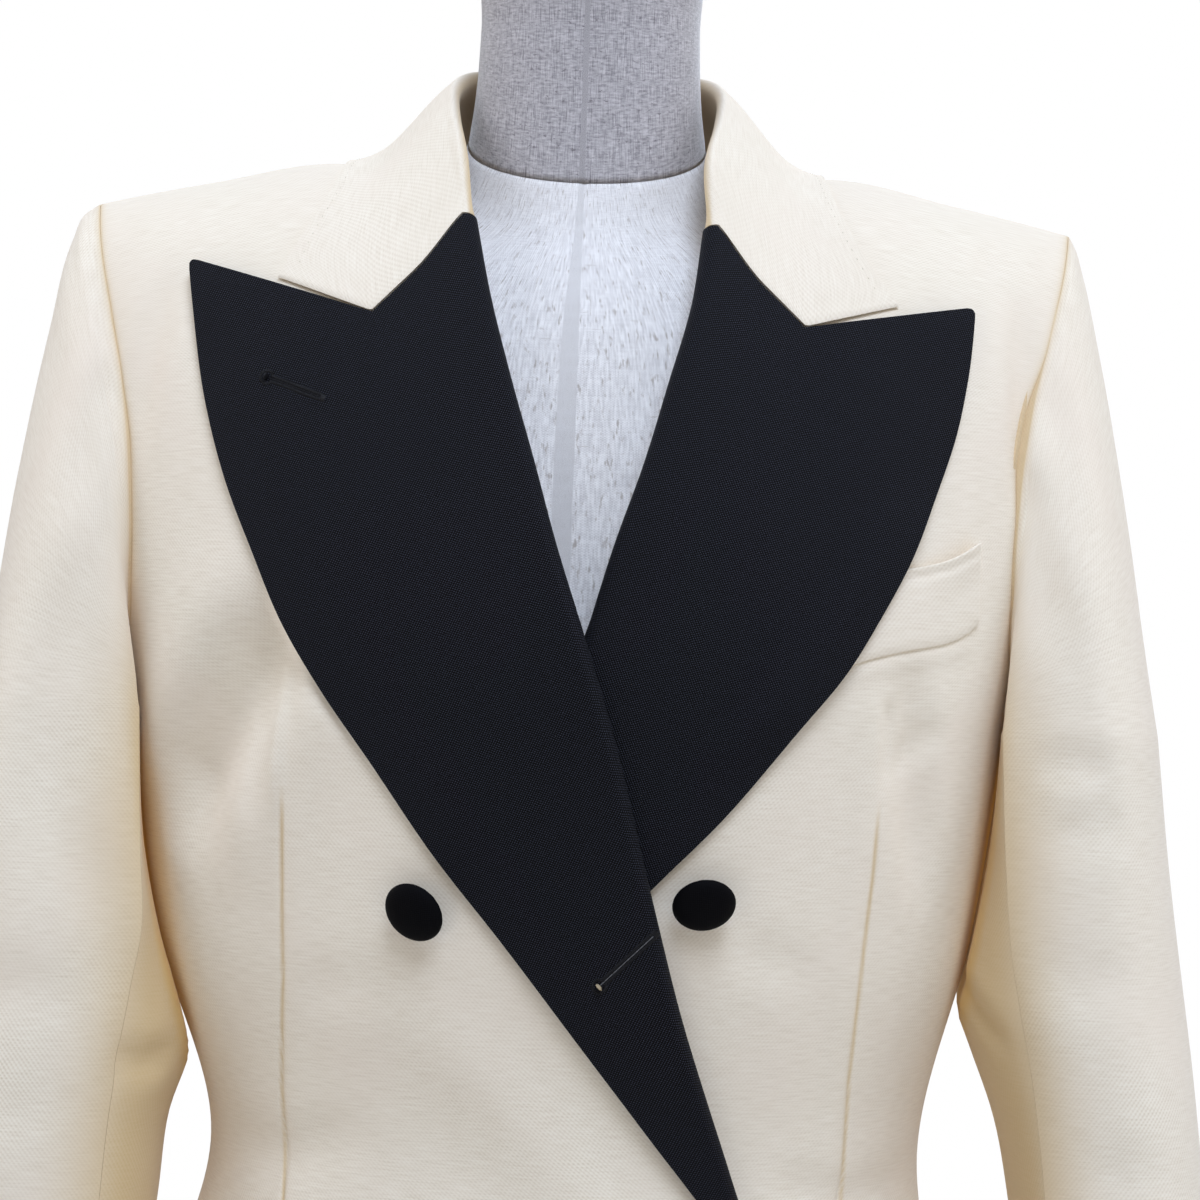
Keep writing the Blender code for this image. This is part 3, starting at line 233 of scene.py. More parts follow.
SLEEVE_SQUARENESS = 0.9    # of a level section: 1 is an ellipse, less is squarer
SLEEVE_HUG = 0.6           # the same of its quarter that lies along the body's side, behind
FOREARM_SEAM = 3           # armhole intervals from the underarm to the front sleeve seam
HIND_SEAM = 4              # and to the back one

# ---- breast pocket welt on the left front
WELT_INNER = ((0.1030, 1.1745), (0.1225, 1.2135))   # its hidden end, low and high
WELT_OUTER = ((0.1668, 1.1954), (0.1660, 1.2283))
WELT_SAG = 0.0038
WELT_LIFT = 0.0025         # the left lapel rides over the welt's hidden end
WELT_LIFT_BAND = (1.160, 1.226)
WELT_LIFT_DEPTH = 0.034
WELT_LIFT_FADE = 0.030
WELT_LIFT_SHARE = 1.6      # how soon the lift is full, in from the lapel's edge

# ---- buttons: cloth-covered domes that droop on their shanks
BUTTONS = (
    # name, across, height, side, droop and swing in degrees
    ("button_show_right",  0.0540, 1.0785, -1, 28.0, 42.0),
    ("button_show_left",   0.0554, 1.0852, 1,  30.0, -4.0),
    ("button_close_right", 0.0574, 0.9230, -1, 16.0, 6.0),
    ("button_close_left",  0.0574, 0.9230, 1,  16.0, -5.0),
)
BUTTON_PROFILE = (         # (out, forward) from the crown round to the back
    (0.0, 0.0071), (0.0045, 0.0068), (0.0085, 0.0058), (0.0113, 0.004),
    (0.0125, 0.002), (0.0119, 0.0006), (0.0098, 0.0), (0.003, 0.0),
)
CLOSING_LAYER = 0.0054     # the right front's wall and lift under the button that closes it
SHANK_RADIUS = 0.0030
SHANK_LENGTH = 0.0034
SHANK_TOP = 0.0022         # from the shank to the button's back
BUTTON_SIDES = 72
BUTTON_RINGS = 42
PLEATS = 18                # of the cover, gathered under the rim
PLEAT_DEPTH = 0.00018
PLEATS_UNEVEN = 1.3        # radians by which their spacing shifts
PLEATS_FROM = 4.2          # the profile's point from which they show
PLEATS_FADE = 1.5
RING_CLOTH = 0.0006        # of the cover's cloth between two rings
SHANK_CLOTH = 0.026

# ---- dress form, its neck, and the stand
FORM = (
    # level, height, half the width, depth in front and behind, tilt
    ("bottom edge", 0.664,  0.158,  0.112, 0.112, 0.00),
    ("bottom",      0.672,  0.166,  0.118, 0.118, 0.00),
    ("hip",         0.780,  0.174,  0.124, 0.126, 0.00),
    ("high hip",    0.880,  0.156,  0.115, 0.108, 0.00),
    ("waist",       0.975,  0.133,  0.103, 0.086, 0.00),
    ("ribs",        1.060,  0.150,  0.117, 0.093, 0.00),
    ("bust",        1.150,  0.168,  0.130, 0.102, 0.00),
    ("chest",       1.220,  0.166,  0.124, 0.104, 0.00),
    ("arm plates",  1.280,  0.156,  0.110, 0.100, 0.05),
    ("shoulder",    1.325,  0.130,  0.094, 0.086, 0.12),
    ("upper",       1.352,  0.096,  0.079, 0.070, 0.20),
    ("throat",      1.373,  0.065,  0.065, 0.051, 0.30),
    ("neck base",   1.3955, 0.0515, 0.056, 0.042, 0.40),
)
NECK = (
    ("neck base", 1.3958, 0.0515, 0.056, 0.042, 0.40),
    ("",          1.4150, 0.0490, 0.052, 0.041, 0.28),
    ("",          1.4450, 0.0474, 0.049, 0.041, 0.12),
    ("top",       1.4850, 0.0468, 0.048, 0.041, 0.00),
    ("rim",       1.4930, 0.0440, 0.045, 0.038, 0.00),
    ("flat",      1.4960, 0.0370, 0.038, 0.031, 0.00),
)
FORM_ROUNDNESS = 2.15

# ---- the solids' divisions
LOW_ROWS = 18
ARM_ROWS = 10
LAPEL_ROWS = 25
LAPEL_COLUMNS = 10
ROLL_STEPS = 3
SLEEVE_ROWS = 12

# ---- how many steps this script makes of each of the solids' divisions
PANEL_FINE = 6
SLEEVE_FINE = 6
FRONT_COLUMNS = 120
BACK_COLUMNS = 70
PANEL_ROWS = LOW_ROWS + ARM_ROWS
LAPEL_FINE_ROWS = 7
LAPEL_FINE_COLUMNS = 6
ROLL_FINE = 4
COLLAR_ROWS = 280
STAND_COLUMNS = 26         # of the collar's grid, which stand against the neck
FALL_COLUMNS = 44
FORM_STEPS = 10
FORM_SIDES = 160

# ---- what this script adds to the shapes
DART_TOP = 1.1250
DART_FADE = 0.020
DART_WIDTH = 0.0008
DART_GROOVE = 0.0010
DART_SWELL = 0.0007        # of the cloth beside the seam
DART_SWELL_AT = 0.0060
DART_SWELL_WIDTH = 0.0055
DART_RUN = 1.55            # how high the crowded columns follow the dart, in its own lengths
DART_SHARES = (0.35, 0.75)
DART_CROWDING = 1.6        # how much closer together the front's columns are beside its dart
DARTS = {                  # for each side, (across, height) up its seam
    -1: (
        (0.1090, 0.7000), (0.1124, 0.9670), (0.1130, 1.0000), (0.1103, 1.0450),
        (0.1110, 1.1250), (0.1117, 1.1600),
    ),
    1: (
        (0.1060, 0.7000), (0.1143, 0.9800), (0.1163, 1.0100), (0.1202, 1.0430),
        (0.1246, 1.0920), (0.1267, 1.1360), (0.1278, 1.1500),
    ),
}
FRONT_CREASES = (
    # name, side, width, depth, and points of its path as (across, height)
    ("beside the armhole", -1, 0.01, 0.0026, (0.166, 1.342), (0.1745, 1.3), (0.178, 1.24)),
    ("under the lapel", -1, 0.022, 0.013, (0.099, 1.207), (0.126, 1.168), (0.149, 1.122), (0.157, 1.084)),
    ("above the dart", -1, 0.0042, -0.0018, (0.112, 1.176), (0.1128, 1.146), (0.1122, 1.104)),
    ("beside that", -1, 0.006, 0.0012, (0.1215, 1.165), (0.1225, 1.135), (0.121, 1.1)),
    ("beside the peak", -1, 0.007, 0.002, (0.146, 1.348), (0.156, 1.336), (0.164, 1.316)),
    ("beside the armhole", 1, 0.01, 0.004, (0.18, 1.34), (0.184, 1.29), (0.1805, 1.235)),
    ("above the peak", 1, 0.0075, 0.0022, (0.146, 1.347), (0.16, 1.35), (0.178, 1.34)),
    ("above the dart", 1, 0.0046, 0.0018, (0.1275, 1.168), (0.1284, 1.15), (0.1268, 1.122)),
    ("from the dart", 1, 0.007, 0.0014, (0.127, 1.13), (0.14, 1.144), (0.154, 1.158)),
    ("side", 1, 0.013, 0.0048, (0.134, 1.186), (0.138, 1.135), (0.146, 1.07)),
    ("waist", -1, 0.013, 0.0024, (0.066, 0.99), (0.104, 0.974), (0.142, 0.972)),
    ("waist", 1, 0.012, 0.0022, (0.074, 0.97), (0.112, 0.958), (0.146, 0.962)),
    ("from the button", -1, 0.012, 0.0012, (0.052, 1.06), (0.078, 1.046), (0.108, 1.04)),
    ("along the lapel", -1, 0.02, -0.0034, (0.058, 1.05), (0.032, 1.015), (-0.009, 0.959), (-0.034, 0.924)),
    ("from the button", 1, 0.011, 0.0011, (0.06, 1.068), (0.084, 1.06), (0.106, 1.05)),
)
BACK_CREASES = (
    # name, side, width, depth, and points of its path as (across, height)
    ("shoulder blade", -1, 0.016, 0.003, (0.06, 1.33), (0.1, 1.29), (0.15, 1.24)),
    ("shoulder blade", 1, 0.015, 0.0034, (0.065, 1.325), (0.112, 1.292), (0.155, 1.23)),
    ("beside the armhole", -1, 0.012, 0.0028, (0.178, 1.33), (0.172, 1.28), (0.166, 1.215)),
    ("beside the armhole", 1, 0.011, 0.0024, (0.18, 1.325), (0.175, 1.275), (0.164, 1.225)),
    ("under the collar", -1, 0.009, 0.0016, (0.01, 1.352), (0.045, 1.346), (0.085, 1.35)),
    ("under the collar", 1, 0.009, 0.0018, (0.005, 1.35), (0.05, 1.344), (0.08, 1.352)),
    ("waist", -1, 0.013, 0.0032, (0.02, 0.975), (0.07, 0.965), (0.135, 0.972)),
    ("waist", 1, 0.013, 0.003, (0.015, 0.962), (0.075, 0.968), (0.13, 0.96)),
    ("over the hip", -1, 0.014, 0.0018, (0.03, 0.905), (0.08, 0.89), (0.125, 0.902)),
    ("over the hip", 1, 0.012, 0.0016, (0.045, 0.898), (0.09, 0.884), (0.13, 0.888)),
)
SLEEVE_CREASES = (
    # name, side, width, depth, and points of its path as (turn, height)
    ("head, in front", -1, 0.012, 0.0026, (118, 1.33), (108, 1.27), (100, 1.215)),
    ("down the front", -1, 0.017, 0.004, (100, 1.23), (90, 1.15), (86, 1.06)),
    ("at the front seam", -1, 0.012, 0.0016, (78, 1.115), (66, 1.06), (58, 1.02)),
    ("elbow, at the seam", -1, 0.0075, 0.0032, (60, 1.012), (42, 1.004), (16, 1.01)),
    ("elbow, in front", -1, 0.012, 0.0011, (66, 1.024), (96, 1.036), (128, 1.028)),
    ("elbow, in front, low", -1, 0.01, 0.0007, (64, 0.992), (92, 0.984), (118, 0.994)),
    ("back of the elbow", -1, 0.012, 0.0026, (225, 1.05), (255, 1.034), (290, 1.044)),
    ("upper arm, behind", -1, 0.014, 0.0022, (215, 1.18), (240, 1.15), (268, 1.14)),
    ("above the cuff", -1, 0.012, 0.0018, (70, 0.862), (104, 0.852), (150, 0.866)),
    ("head, in front", 1, 0.011, 0.0026, (128, 1.335), (116, 1.27), (106, 1.205)),
    ("down the front", 1, 0.014, 0.0046, (96, 1.29), (84, 1.23), (80, 1.165)),
    ("dimple", 1, 0.009, 0.0022, (66, 1.132), (84, 1.14), (106, 1.136)),
    ("under the dimple", 1, 0.012, 0.0018, (64, 1.11), (90, 1.112), (112, 1.12)),
    ("under the elbow", 1, 0.0065, 0.003, (6, 1.052), (26, 1.038), (48, 1.018)),
    ("elbow, in front", 1, 0.014, 0.0016, (60, 1.06), (88, 1.05), (124, 1.058)),
    ("elbow, low", 1, 0.012, 0.0014, (66, 0.985), (92, 0.975), (120, 0.984)),
    ("back of the elbow", 1, 0.012, 0.0028, (228, 1.04), (260, 1.024), (294, 1.036)),
    ("upper arm, behind", 1, 0.014, 0.002, (220, 1.19), (246, 1.16), (270, 1.15)),
    ("above the cuff", 1, 0.012, 0.0016, (72, 0.872), (110, 0.858), (148, 0.868)),
)
CREASE_FADE = 0.35         # the share of a crease's length over which each end fades
CREASE_SPREAD = 1.5        # of its trough, in squares of its width
CREASE_SWELL = 0.8         # how much of the cloth is pushed up beside it
BARE_FROM = 0.002          # this far under the lapel's edge the front's own relief begins
BARE_FADE = 0.010
ROLL_CLOTH = 0.010         # of the lapel's cloth, which is turned in at its roll
# Painted shade: cream cloth coloured more golden in seams, folds and where the arm lies on the body,
# standing for shade and light bounced between the cloth.
STAND_PAINTED_SHADE = 0.6         # how much painted shade the collar's stand has
STAND_FADE = 0.2           # the shares of it, next to the fold, that have none and less
SEAM_PAINTED_SHADE = 0.55         # the same along the armholes
LINE_PAINTED_SHADE = 0.6          # and along the darts and the centre back
SEAM_SHADE = 0.0014        # how far from the armhole's seam the cloth has painted shade, a deeper golden colour
SIDE_SHADE = 0.054         # how far forward and back it does so where the arm lies on the body
SIDE_FADE = 0.018
SIDE_TOP = 1.225           # the heights between which it does so
SIDE_LOW = 1.010
SIDE_LEVEL_FADE = 0.070
ARM_SHADE = 0.016          # and the sleeve, away from the body
ARM_TOP = 1.220
ARM_LEVEL_FADE = 0.120
UNDER_SHADE = 0.68         # how much of that painted shade the under sleeve has
UNDER_TURN = 1.55          # how far round from the body's side, in radians, it reaches
UNDER_FADE = 0.9
ALLOWANCE = 0.0025         # how far the sleeve's cloth runs on under the armhole's edge
UNDER = 0.0010             # and how far under it
BEYOND_ARMHOLE = (0.30, 0.0, 1.262)
WELT_SWELL = 0.0015        # of the front, just under the welt
WELT_SWELL_BELOW = 0.0032
WELT_SWELL_WIDTH = 0.0032
WELT_SWELL_FADE = 0.15     # the share of the welt's length over which it fades
WELT_POINTS = 12
WELT_CURL = 0.0022
CURL_FROM = 0.45           # how far along and how far up the welt its corner starts to lift
WELT_TOP_SAG = 0.0030
WELT_LIP = 0.0004          # the folded upper edge stands up,
WELT_DIP = 0.0005          # the cloth dips below it,
WELT_DIP_AT = 0.13
WELT_TUCK = 0.0007         # and it is drawn in at the lower seam
WELT_BAND = 0.05           # over this share of the welt's height
WEAVE_OVER = 0.8           # how the weave is carried on over the shoulders
WEAVE_DEPTH = 0.110
WEAVE_FROM = 1.280
WEAVE_FADE = 0.060
PEAK_ROUNDING = 0.0040
CUT_ANGLE = 55             # edges sharper than this, in degrees, are cut edges, and are rounded
FORM_SEAM_DEPTH = 0.0006
FORM_SEAM_WIDTH = 0.0008
FORM_GIRTH = 0.12          # of its linen for each radian round

# ---- sewing: buttonholes as (x, height) of the eyelet and of the slit's end
HOLE_UPPER = ((-0.1243, 1.2849), (-0.1014, 1.2769))
HOLE_LOWER = ((0.0168, 1.0499), (0.0374, 1.0706))
EYELET = 0.0019            # the eyelet's radius
SLIT = 0.00020             # half the slit's width
STITCH_LENGTH = 0.0016
STITCH_SLANT = 0.0002
EYELET_OPEN = 0.5          # radians each way from the slit, without stitches
EYELET_CROWDING = 0.8      # of the stitches' pitch round the eyelet
BAR_STITCHES = 5
BAR_CROWDING = 0.7
STITCH_PITCH = 0.00052
STITCH_RADIUS = 0.00026
STITCH_RINGS = 5
STITCH_SIDES = 6
SLIT_PARTS = 12            # short pieces that follow the lapel
SLIT_OVERLAP = 0.3         # how far each runs into the next, in its own lengths
SLIT_SHARE = 0.96          # of the way to its bar that is seen open
TACK_HALF = 0.0017         # half the length of the bar at the slit's end
PICK_GAP = 0.0052          # between the prick stitches beside an edge
PICK_LENGTH = 0.0010
PICK_RADIUS = 0.00016
PICK_ENDS = 4              # rows of the collar's grid at each end without them
PICK_COLUMN = 5            # columns in from its outer edge

# ---- each sheet's flat cut, width and length, its flat area, and how it is held
SHEETS = {
    # kind, flat cut, flat area, how it is held, rounding of its edges
    "front":        ((0.33, 0.76),   0.20,   "draped", 0.0005),
    "back":         ((0.24, 0.74),   0.16,   "draped", 0.0005),
    "top_sleeve":   ((0.23, 0.62),   0.124,  "hung",   0.0005),
    "under_sleeve": ((0.14, 0.50),   0.051,  "hung",   0.0005),
    "lapel":        ((0.16, 0.46),   0.036,  "folded", 0.0009),
    "collar":       ((0.43, 0.11),   0.044,  "folded", 0.0008),
    "pocket_welt":  ((0.065, 0.040), 0.0024, "laid",   0.0005),
}

TWILL_PITCH = 0.0015
TWILL_ANGLE = 50
GRAIN_PITCH = 0.0013       # of the black cloth
BUTTON_PITCH = 0.0007
LINEN_PITCH = 0.0011

# ---- colours
CREAM_LOW = (0.74, 0.665, 0.54)
CREAM_MIDDLE = (0.87, 0.80, 0.68)
CREAM_HIGH = (0.95, 0.90, 0.79)
# the golden painted shade of folds, seams and the cloth beside the arm
CREAM_PAINTED_SHADE = (0.60, 0.40, 0.13)
CREAM_BLUSH = (0.87, 0.765, 0.66)
# painted glow: emission in the deepest folds, standing for light bounced between the cloth
CREAM_GLOW = (0.50, 0.30, 0.08)
GLOW_FROM = 0.70           # how deep the painted shade is where the painted glow starts
GLOW_STRENGTH = 0.42
BLACK_LOW = (0.0003, 0.0003, 0.0005)
BLACK_MIDDLE = (0.0030, 0.0032, 0.0048)
# painted highlight: the light bluish tone of the grain's raised threads
BLACK_PAINTED_HIGHLIGHT = (0.040, 0.043, 0.062)
LINEN_LOW = (0.62, 0.61, 0.63)
LINEN_HIGH = (0.90, 0.90, 0.92)
LINEN_FLECK = (0.40, 0.36, 0.34)
NECK_LOW = (0.23, 0.22, 0.24)
NECK_HIGH = (0.62, 0.60, 0.63)
NECK_FLECK = (0.17, 0.155, 0.175)

# ---- light and camera
AMBIENT_STRENGTH = 0.32
AMBIENT_BELOW = (1.0, 0.80, 0.55)
AMBIENT_ABOVE = (0.96, 0.98, 1.0)
DIFFUSE_BOUNCES = 10
FLOOR_REACH = 3.0
LIGHTS = (
    # name, place, looks at, size, power, colour
    ("key",        (0.60, -2.4, 4.5),   (0.0, 0.0, 1.10),   2.2, 125.0, (0.73, 0.83, 1.0)),
    ("left",       (-3.0, 0.1, 1.5),    (0.0, 0.0, 1.15),   1.6, 9.0,   (0.98, 0.96, 0.98)),
    ("right",      (3.0, 0.1, 1.5),     (0.0, 0.0, 1.15),   1.6, 10.0,  (0.94, 0.95, 1.0)),
    ("back",       (0.3, 3.0, 2.8),     (0.0, 0.0, 1.15),   2.0, 44.0,  (0.90, 0.94, 1.0)),
    ("neck left",  (-0.85, -0.15, 1.9), (-0.05, 0.0, 1.45), 0.5, 2.6,   (0.86, 0.90, 1.0)),
    ("neck right", (0.85, -0.15, 1.9),  (0.05, 0.0, 1.45),  0.5, 1.9,   (0.86, 0.90, 1.0)),
    ("low left",   (-1.3, -2.2, 1.00),  (0.0, 0.0, 1.00),   0.7, 2.2,   (1.0, 0.93, 0.84)),
    ("low right",  (1.3, -2.2, 1.00),   (0.0, 0.0, 1.00),   0.7, 1.4,   (1.0, 0.93, 0.84)),
)
CAMERA_PLACE = (0.01215, -1.40, 1.20)
CAMERA_LENS = 96.81
CAMERA_ROLL = 0.0332


def column(table, index):
    return np.array([row[index] for row in table], float)


def through(knots, values, at):
    """A smooth curve through the values at the knots, read at other places."""
    knots = np.asarray(knots, float)
    values = np.asarray(values, float)
    at = np.asarray(at, float)
    slope = np.gradient(values, knots, axis=0)
    low = np.clip(np.searchsorted(knots, at, side="right") - 1, 0, len(knots) - 2)
    step = knots[low + 1] - knots[low]
    t = (at - knots[low]) / step
    t = t.reshape(t.shape + (1,) * (values.ndim - 1))
    step = step.reshape(t.shape)
    start = (2 * t**3 - 3 * t**2 + 1) * values[low] + (t**3 - 2 * t**2 + t) * step * slope[low]
    end = (3 * t**2 - 2 * t**3) * values[low + 1] + (t**3 - t**2) * step * slope[low + 1]
    return start + end


def read(table, index, at):
    """One of a table's columns as a smooth curve, read at places along its column of knots."""
    return through(column(table, 1), column(table, index), at)


def outline_at(outline, height):
    """How far across an outline of (across, height) points is at a height."""
    return np.interp(height, column(outline, 1), column(outline, 0))


def edge_index(side):
    """The column of FRONT_EDGE that belongs to a side."""
    return 2 if side < 0 else 3


def sway(height):
    """How far the body hangs to the wearer's left at a height."""
    return SWAY * np.exp(-((height - SWAY_HEIGHT) / SWAY_REACH) ** 2)


def smooth_step(share):
    share = np.clip(share, 0, 1)
    return share * share * (3 - 2 * share)


def unit(vectors):
    return vectors / np.linalg.norm(vectors, axis=-1, keepdims=True)


def blend(one, other, share):
    return one * (1 - share) + other * share


def distance(points, others):
    return np.linalg.norm(points - others, axis=-1)


def reached(points):
    """How far along a line each of its points lies, or along a grid each of its rows."""
    steps = np.linalg.norm(np.diff(points, axis=0), axis=-1)
    if steps.ndim > 1:
        steps = steps.mean(axis=1)
    return np.concatenate([[0], np.cumsum(steps)])


def along_corners(at, knots, corners):
    """Points on the straight runs between corners, which lie at the knots."""
    return np.stack([np.interp(at, knots, values) for values in np.transpose(corners)], -1)


def soft_push(short, softness):
    """How far to move what is short of its place: all the way, or not at all where it is clear."""
    return (short + np.sqrt(short**2 + softness**2)) / 2


def shoulder_height(across):
    return read(SHOULDER_LINE, 2, np.abs(across))


def section_size(up, front):
    """Half the width of the body's level section, and its depth in front or behind."""
    return read(BODY, 2, up), np.where(front, read(BODY, 3, up), read(BODY, 4, up))


def body(around, up):
    """The jacket's inner face. around: degrees from the centre front. up: 0 hem, 1 bust, 2 shoulder."""
    around, up = np.broadcast_arrays(np.asarray(around, float), np.asarray(up, float))
    over = up > 2
    around = np.where(over, np.sign(around) * 180 - around, around)
    up = np.where(over, 4 - up, up)
    turn = np.radians(np.abs(around))
    front = turn <= np.pi / 2
    half, depth = section_size(up, front)
    rise = np.where(front, FRONT_RISE, BACK_RISE)
    lean = np.clip(up - 1, 0, 1) * np.pi / 2
    x = half * np.abs(np.sin(turn)) ** (2 / ROUNDNESS)
    y = depth * np.abs(np.cos(turn)) ** (2 / ROUNDNESS) * np.cos(lean)
    crest = BUST + (shoulder_height(x) - BUST) * np.sqrt(np.maximum(1 - np.cos(lean) ** rise, 0))
    z = np.where(up < 1, HEM + up * (BUST - HEM), crest)
    return np.stack([np.copysign(x, around), np.where(front, -y, y), z], -1)


def place(across, height, behind=False):
    """The (around, up) of the body's point that is seen at this place from the front or the back."""
    across, height = np.broadcast_arrays(np.asarray(across, float), np.asarray(height, float))
    share = np.clip((height - BUST) / (shoulder_height(across) - BUST), 0, 1)
    rise = np.where(behind, BACK_RISE, FRONT_RISE)
    lean = np.arccos(np.clip(1 - share**2, 0, 1) ** (1 / rise))
    up = np.where(height < BUST, (height - HEM) / (BUST - HEM), 1 + lean / (np.pi / 2))
    around = np.degrees(np.arcsin(np.clip(np.abs(across) / read(BODY, 2, up), 0, 1) ** (ROUNDNESS / 2)))
    around = np.where(behind, 180 - around, around)
    return np.copysign(around, across), up


def normal(around, up, step=0.4):
    """The body's outward unit normals."""
    sideways = body(around + step, up) - body(around - step, up)
    upward = body(around, up + step / 100) - body(around, up - step / 100)
    return unit(np.cross(sideways, upward))


def lap(across, height, side):
    """How far a front is lifted off the body: the right one laps over the left one and its lapel."""
    if side > 0:
        return np.zeros(np.shape(across))
    reach = -across - read(FRONT_EDGE, edge_index(1), height)
    full = LAPPED_LOW + (LAPPED - LAPPED_LOW) * smooth_step((height - LAP_LOW) / (BREAK - LAP_LOW))
    return full * smooth_step(1 + reach / LAP_RISE)


def on_front(across, height, lift, side, seen=1.0):
    """Points lift metres out from a front's inner face. Where seen is 1 they keep their place as
    it is seen from the front, and where it is 0 they lie straight above that place of the panel."""
    lift = lift + lap(across, height, side)
    out = normal(*place(across, height))
    around, up = place(across - seen * lift * out[..., 0], height - seen * lift * out[..., 2])
    out = normal(around, up)
    return body(around, up) + out * lift[..., None], out


def grid_normals(grid, ring=False):
    """Unit normals of a grid, to the left of its rows seen from outside."""
    along = np.gradient(grid, axis=0)
    if ring:
        across = np.roll(grid, -1, axis=1) - np.roll(grid, 1, axis=1)
    else:
        across = np.gradient(grid, axis=1)
    return unit(np.cross(across, along))


def armhole(share, behind):
    """The armhole's (around, up) from the underarm to the shoulder point."""
    knots = column(ARMHOLE, 1)
    first = 4 if behind else 2
    around, up = place(column(ARMHOLE, first), column(ARMHOLE, first + 1), behind)
    pairs = np.stack([around, up], -1)
    pairs[0, 0] = SIDE_SEAM
    pairs[-1, 1] = 2
    return through(knots, pairs, share)


def armhole_loop():
    """Points round an armhole, from the underarm up its front and down its back, and their normals."""
    share = np.linspace(0, 1, ARM_ROWS * SLEEVE_FINE + 1)
    loop = np.concatenate([armhole(share, False), armhole(share, True)[-2:0:-1]])
    return body(loop[:, 0], loop[:, 1]), normal(loop[:, 0], loop[:, 1])


def behind_neck(across, deep):
    """The (around, up) of the back's point that lies there when it is seen from above."""
    up = np.full(np.shape(across), 1.9)
    for _ in range(6):
        half, depth = section_size(up, False)
        turn = np.arcsin((across / half) ** (ROUNDNESS / 2))
        depth = depth * np.cos(turn) ** (2 / ROUNDNESS)
        up = 1 + np.arccos(np.clip(deep / depth, 0, 1)) / (np.pi / 2)
    return 180 - np.degrees(turn), up


def back_edge(row):
    """(around, up) along the centre back seam and then along the neckline to its neck point."""
    turn = np.clip((PANEL_ROWS - row) / (PANEL_ROWS - NAPE_ROW), 0, 1) * np.pi / 2
    across = np.maximum(NECK_HALF * np.cos(turn), SEAM / 2)
    around, up = behind_neck(across, NECK_DEPTH * np.sin(turn))
    return np.stack([around, up * np.clip(row / NAPE_ROW, 0, 1)], -1)


def along_curve(points, share):
    """Points at shares of the length of a smooth curve."""
    length = reached(points)
    return through(length / length[-1], points, share)


def lapel_outline(side, rows, columns):
    """The lapel's flat (across, height) grid, rows from the break up, columns from roll to outer edge."""
    roll, notch = GORGE[side]
    edge = np.stack([column(FRONT_EDGE, edge_index(side)), column(FRONT_EDGE, 1)], -1)
    edge = edge[(edge[:, 1] >= BREAK) & (edge[:, 1] < roll[1] - GORGE_FREE)]
    edge = np.concatenate([edge, [roll]])
    outer = np.array(LAPEL_OUTER[side])
    up = np.linspace(0, 1, rows + 1)
    out = np.linspace(0, 1, columns + 1)
    flat = blend(along_curve(edge, up)[:, None], along_curve(outer, up)[:, None], out[None, :, None])
    top = along_corners(out, (0, NOTCH_SHARE, 1), (roll, notch, outer[-1]))
    return flat + up[:, None, None] * (top - flat[-1])


def lapel_lift(flat, side):
    """How far a lapel's face stands off the front's inner face."""
    height = flat[..., 1]
    bare = smooth_step((height - (LAPPED_ROLL if side > 0 else BREAK)) / ROLL_FADE)
    from_roll = distance(flat, flat[:, :1])
    lift = CLOTH + LAY + LAPEL + ROLL_LIFT * bare * np.exp(-from_roll / ROLL_SOFTNESS)
    lift = lift + PEAK_LIFT * smooth_step(1 - distance(flat, flat[-1, -1]) / PEAK_REACH)
    if side > 0:
        low, high = WELT_LIFT_BAND
        beyond = np.maximum(low - height, height - high) / WELT_LIFT_FADE
        inner = WELT_LIFT_SHARE * (1 - distance(flat, flat[:, -1:]) / WELT_LIFT_DEPTH)
        lift = lift + WELT_LIFT * (smooth_step(1 - beyond) * smooth_step(inner))
    return lift


def folded_over(flat, lift, side, turns, along=None):
    """What lies on a front and turns in round its edge: rows of points and their outward directions.

    flat: rows of (across, height) from the front's edge outwards. turns: angles of the turned-in
    columns, from the far end to the roll. along: the edge's direction, where flat is one row."""
    seen = smooth_step(distance(flat, flat[:, :1]) / SEEN_FROM)
    face, out = on_front(flat[..., 0], flat[..., 1], lift, side, seen)
    edge, _ = on_front(flat[:, 0, 0], flat[:, 0, 1], np.full(len(flat), CLOTH / 2), side, 0)
    if along is None:
        along = unit(np.gradient(edge, axis=0))
    off = unit(np.cross(out[:, 0], along))
    off = off * np.sign(np.sum(off * (edge - face[:, FROM_ROLL]), axis=-1))[:, None]
    radius = (lift[:, 0] - CLOTH / 2)[:, None]
    rolled, outward = [], []
    for turn in turns:
        direction = out[:, 0] * np.cos(turn) + off * np.sin(turn)
        tuck = min(turn / turns[0], 1)
        rolled.append(edge + direction * (radius * (1 - tuck) + np.minimum(radius, ROLL_RADIUS) * tuck))
        outward.append(direction)
    face = np.concatenate([np.stack(rolled, 1), face], 1)
    return face, np.concatenate([np.stack(outward, 1), out], 1)


def beneath(points):
    """The (around, up) of the body under points that lie on its upper half or near it."""
    x, y, z = np.moveaxis(points, -1, 0)
    rise = (z - BUST) / (shoulder_height(x) - BUST)
    up = np.full(x.shape, 1.8)
    for _ in range(4):
        half, depth = section_size(up, y < 0)
        turn = np.arcsin(np.clip(np.abs(x) / half, 0, 0.98) ** (ROUNDNESS / 2))
        reach = np.abs(y) / (depth * np.cos(turn) ** (2 / ROUNDNESS))
        up = 1 + np.arctan2(rise, reach) / (np.pi / 2)
    around = np.degrees(turn)
    return np.copysign(np.where(y < 0, around, 180 - around), x), up


def rest_on(points, lift):
    """Points pushed out of the body until they stand lift metres off it."""
    around, up = beneath(points)
    out = normal(around, up)
    height = np.sum((points - body(around, up)) * out, axis=-1)
    return points + out * soft_push(lift - height, REST_SOFTNESS)[..., None]


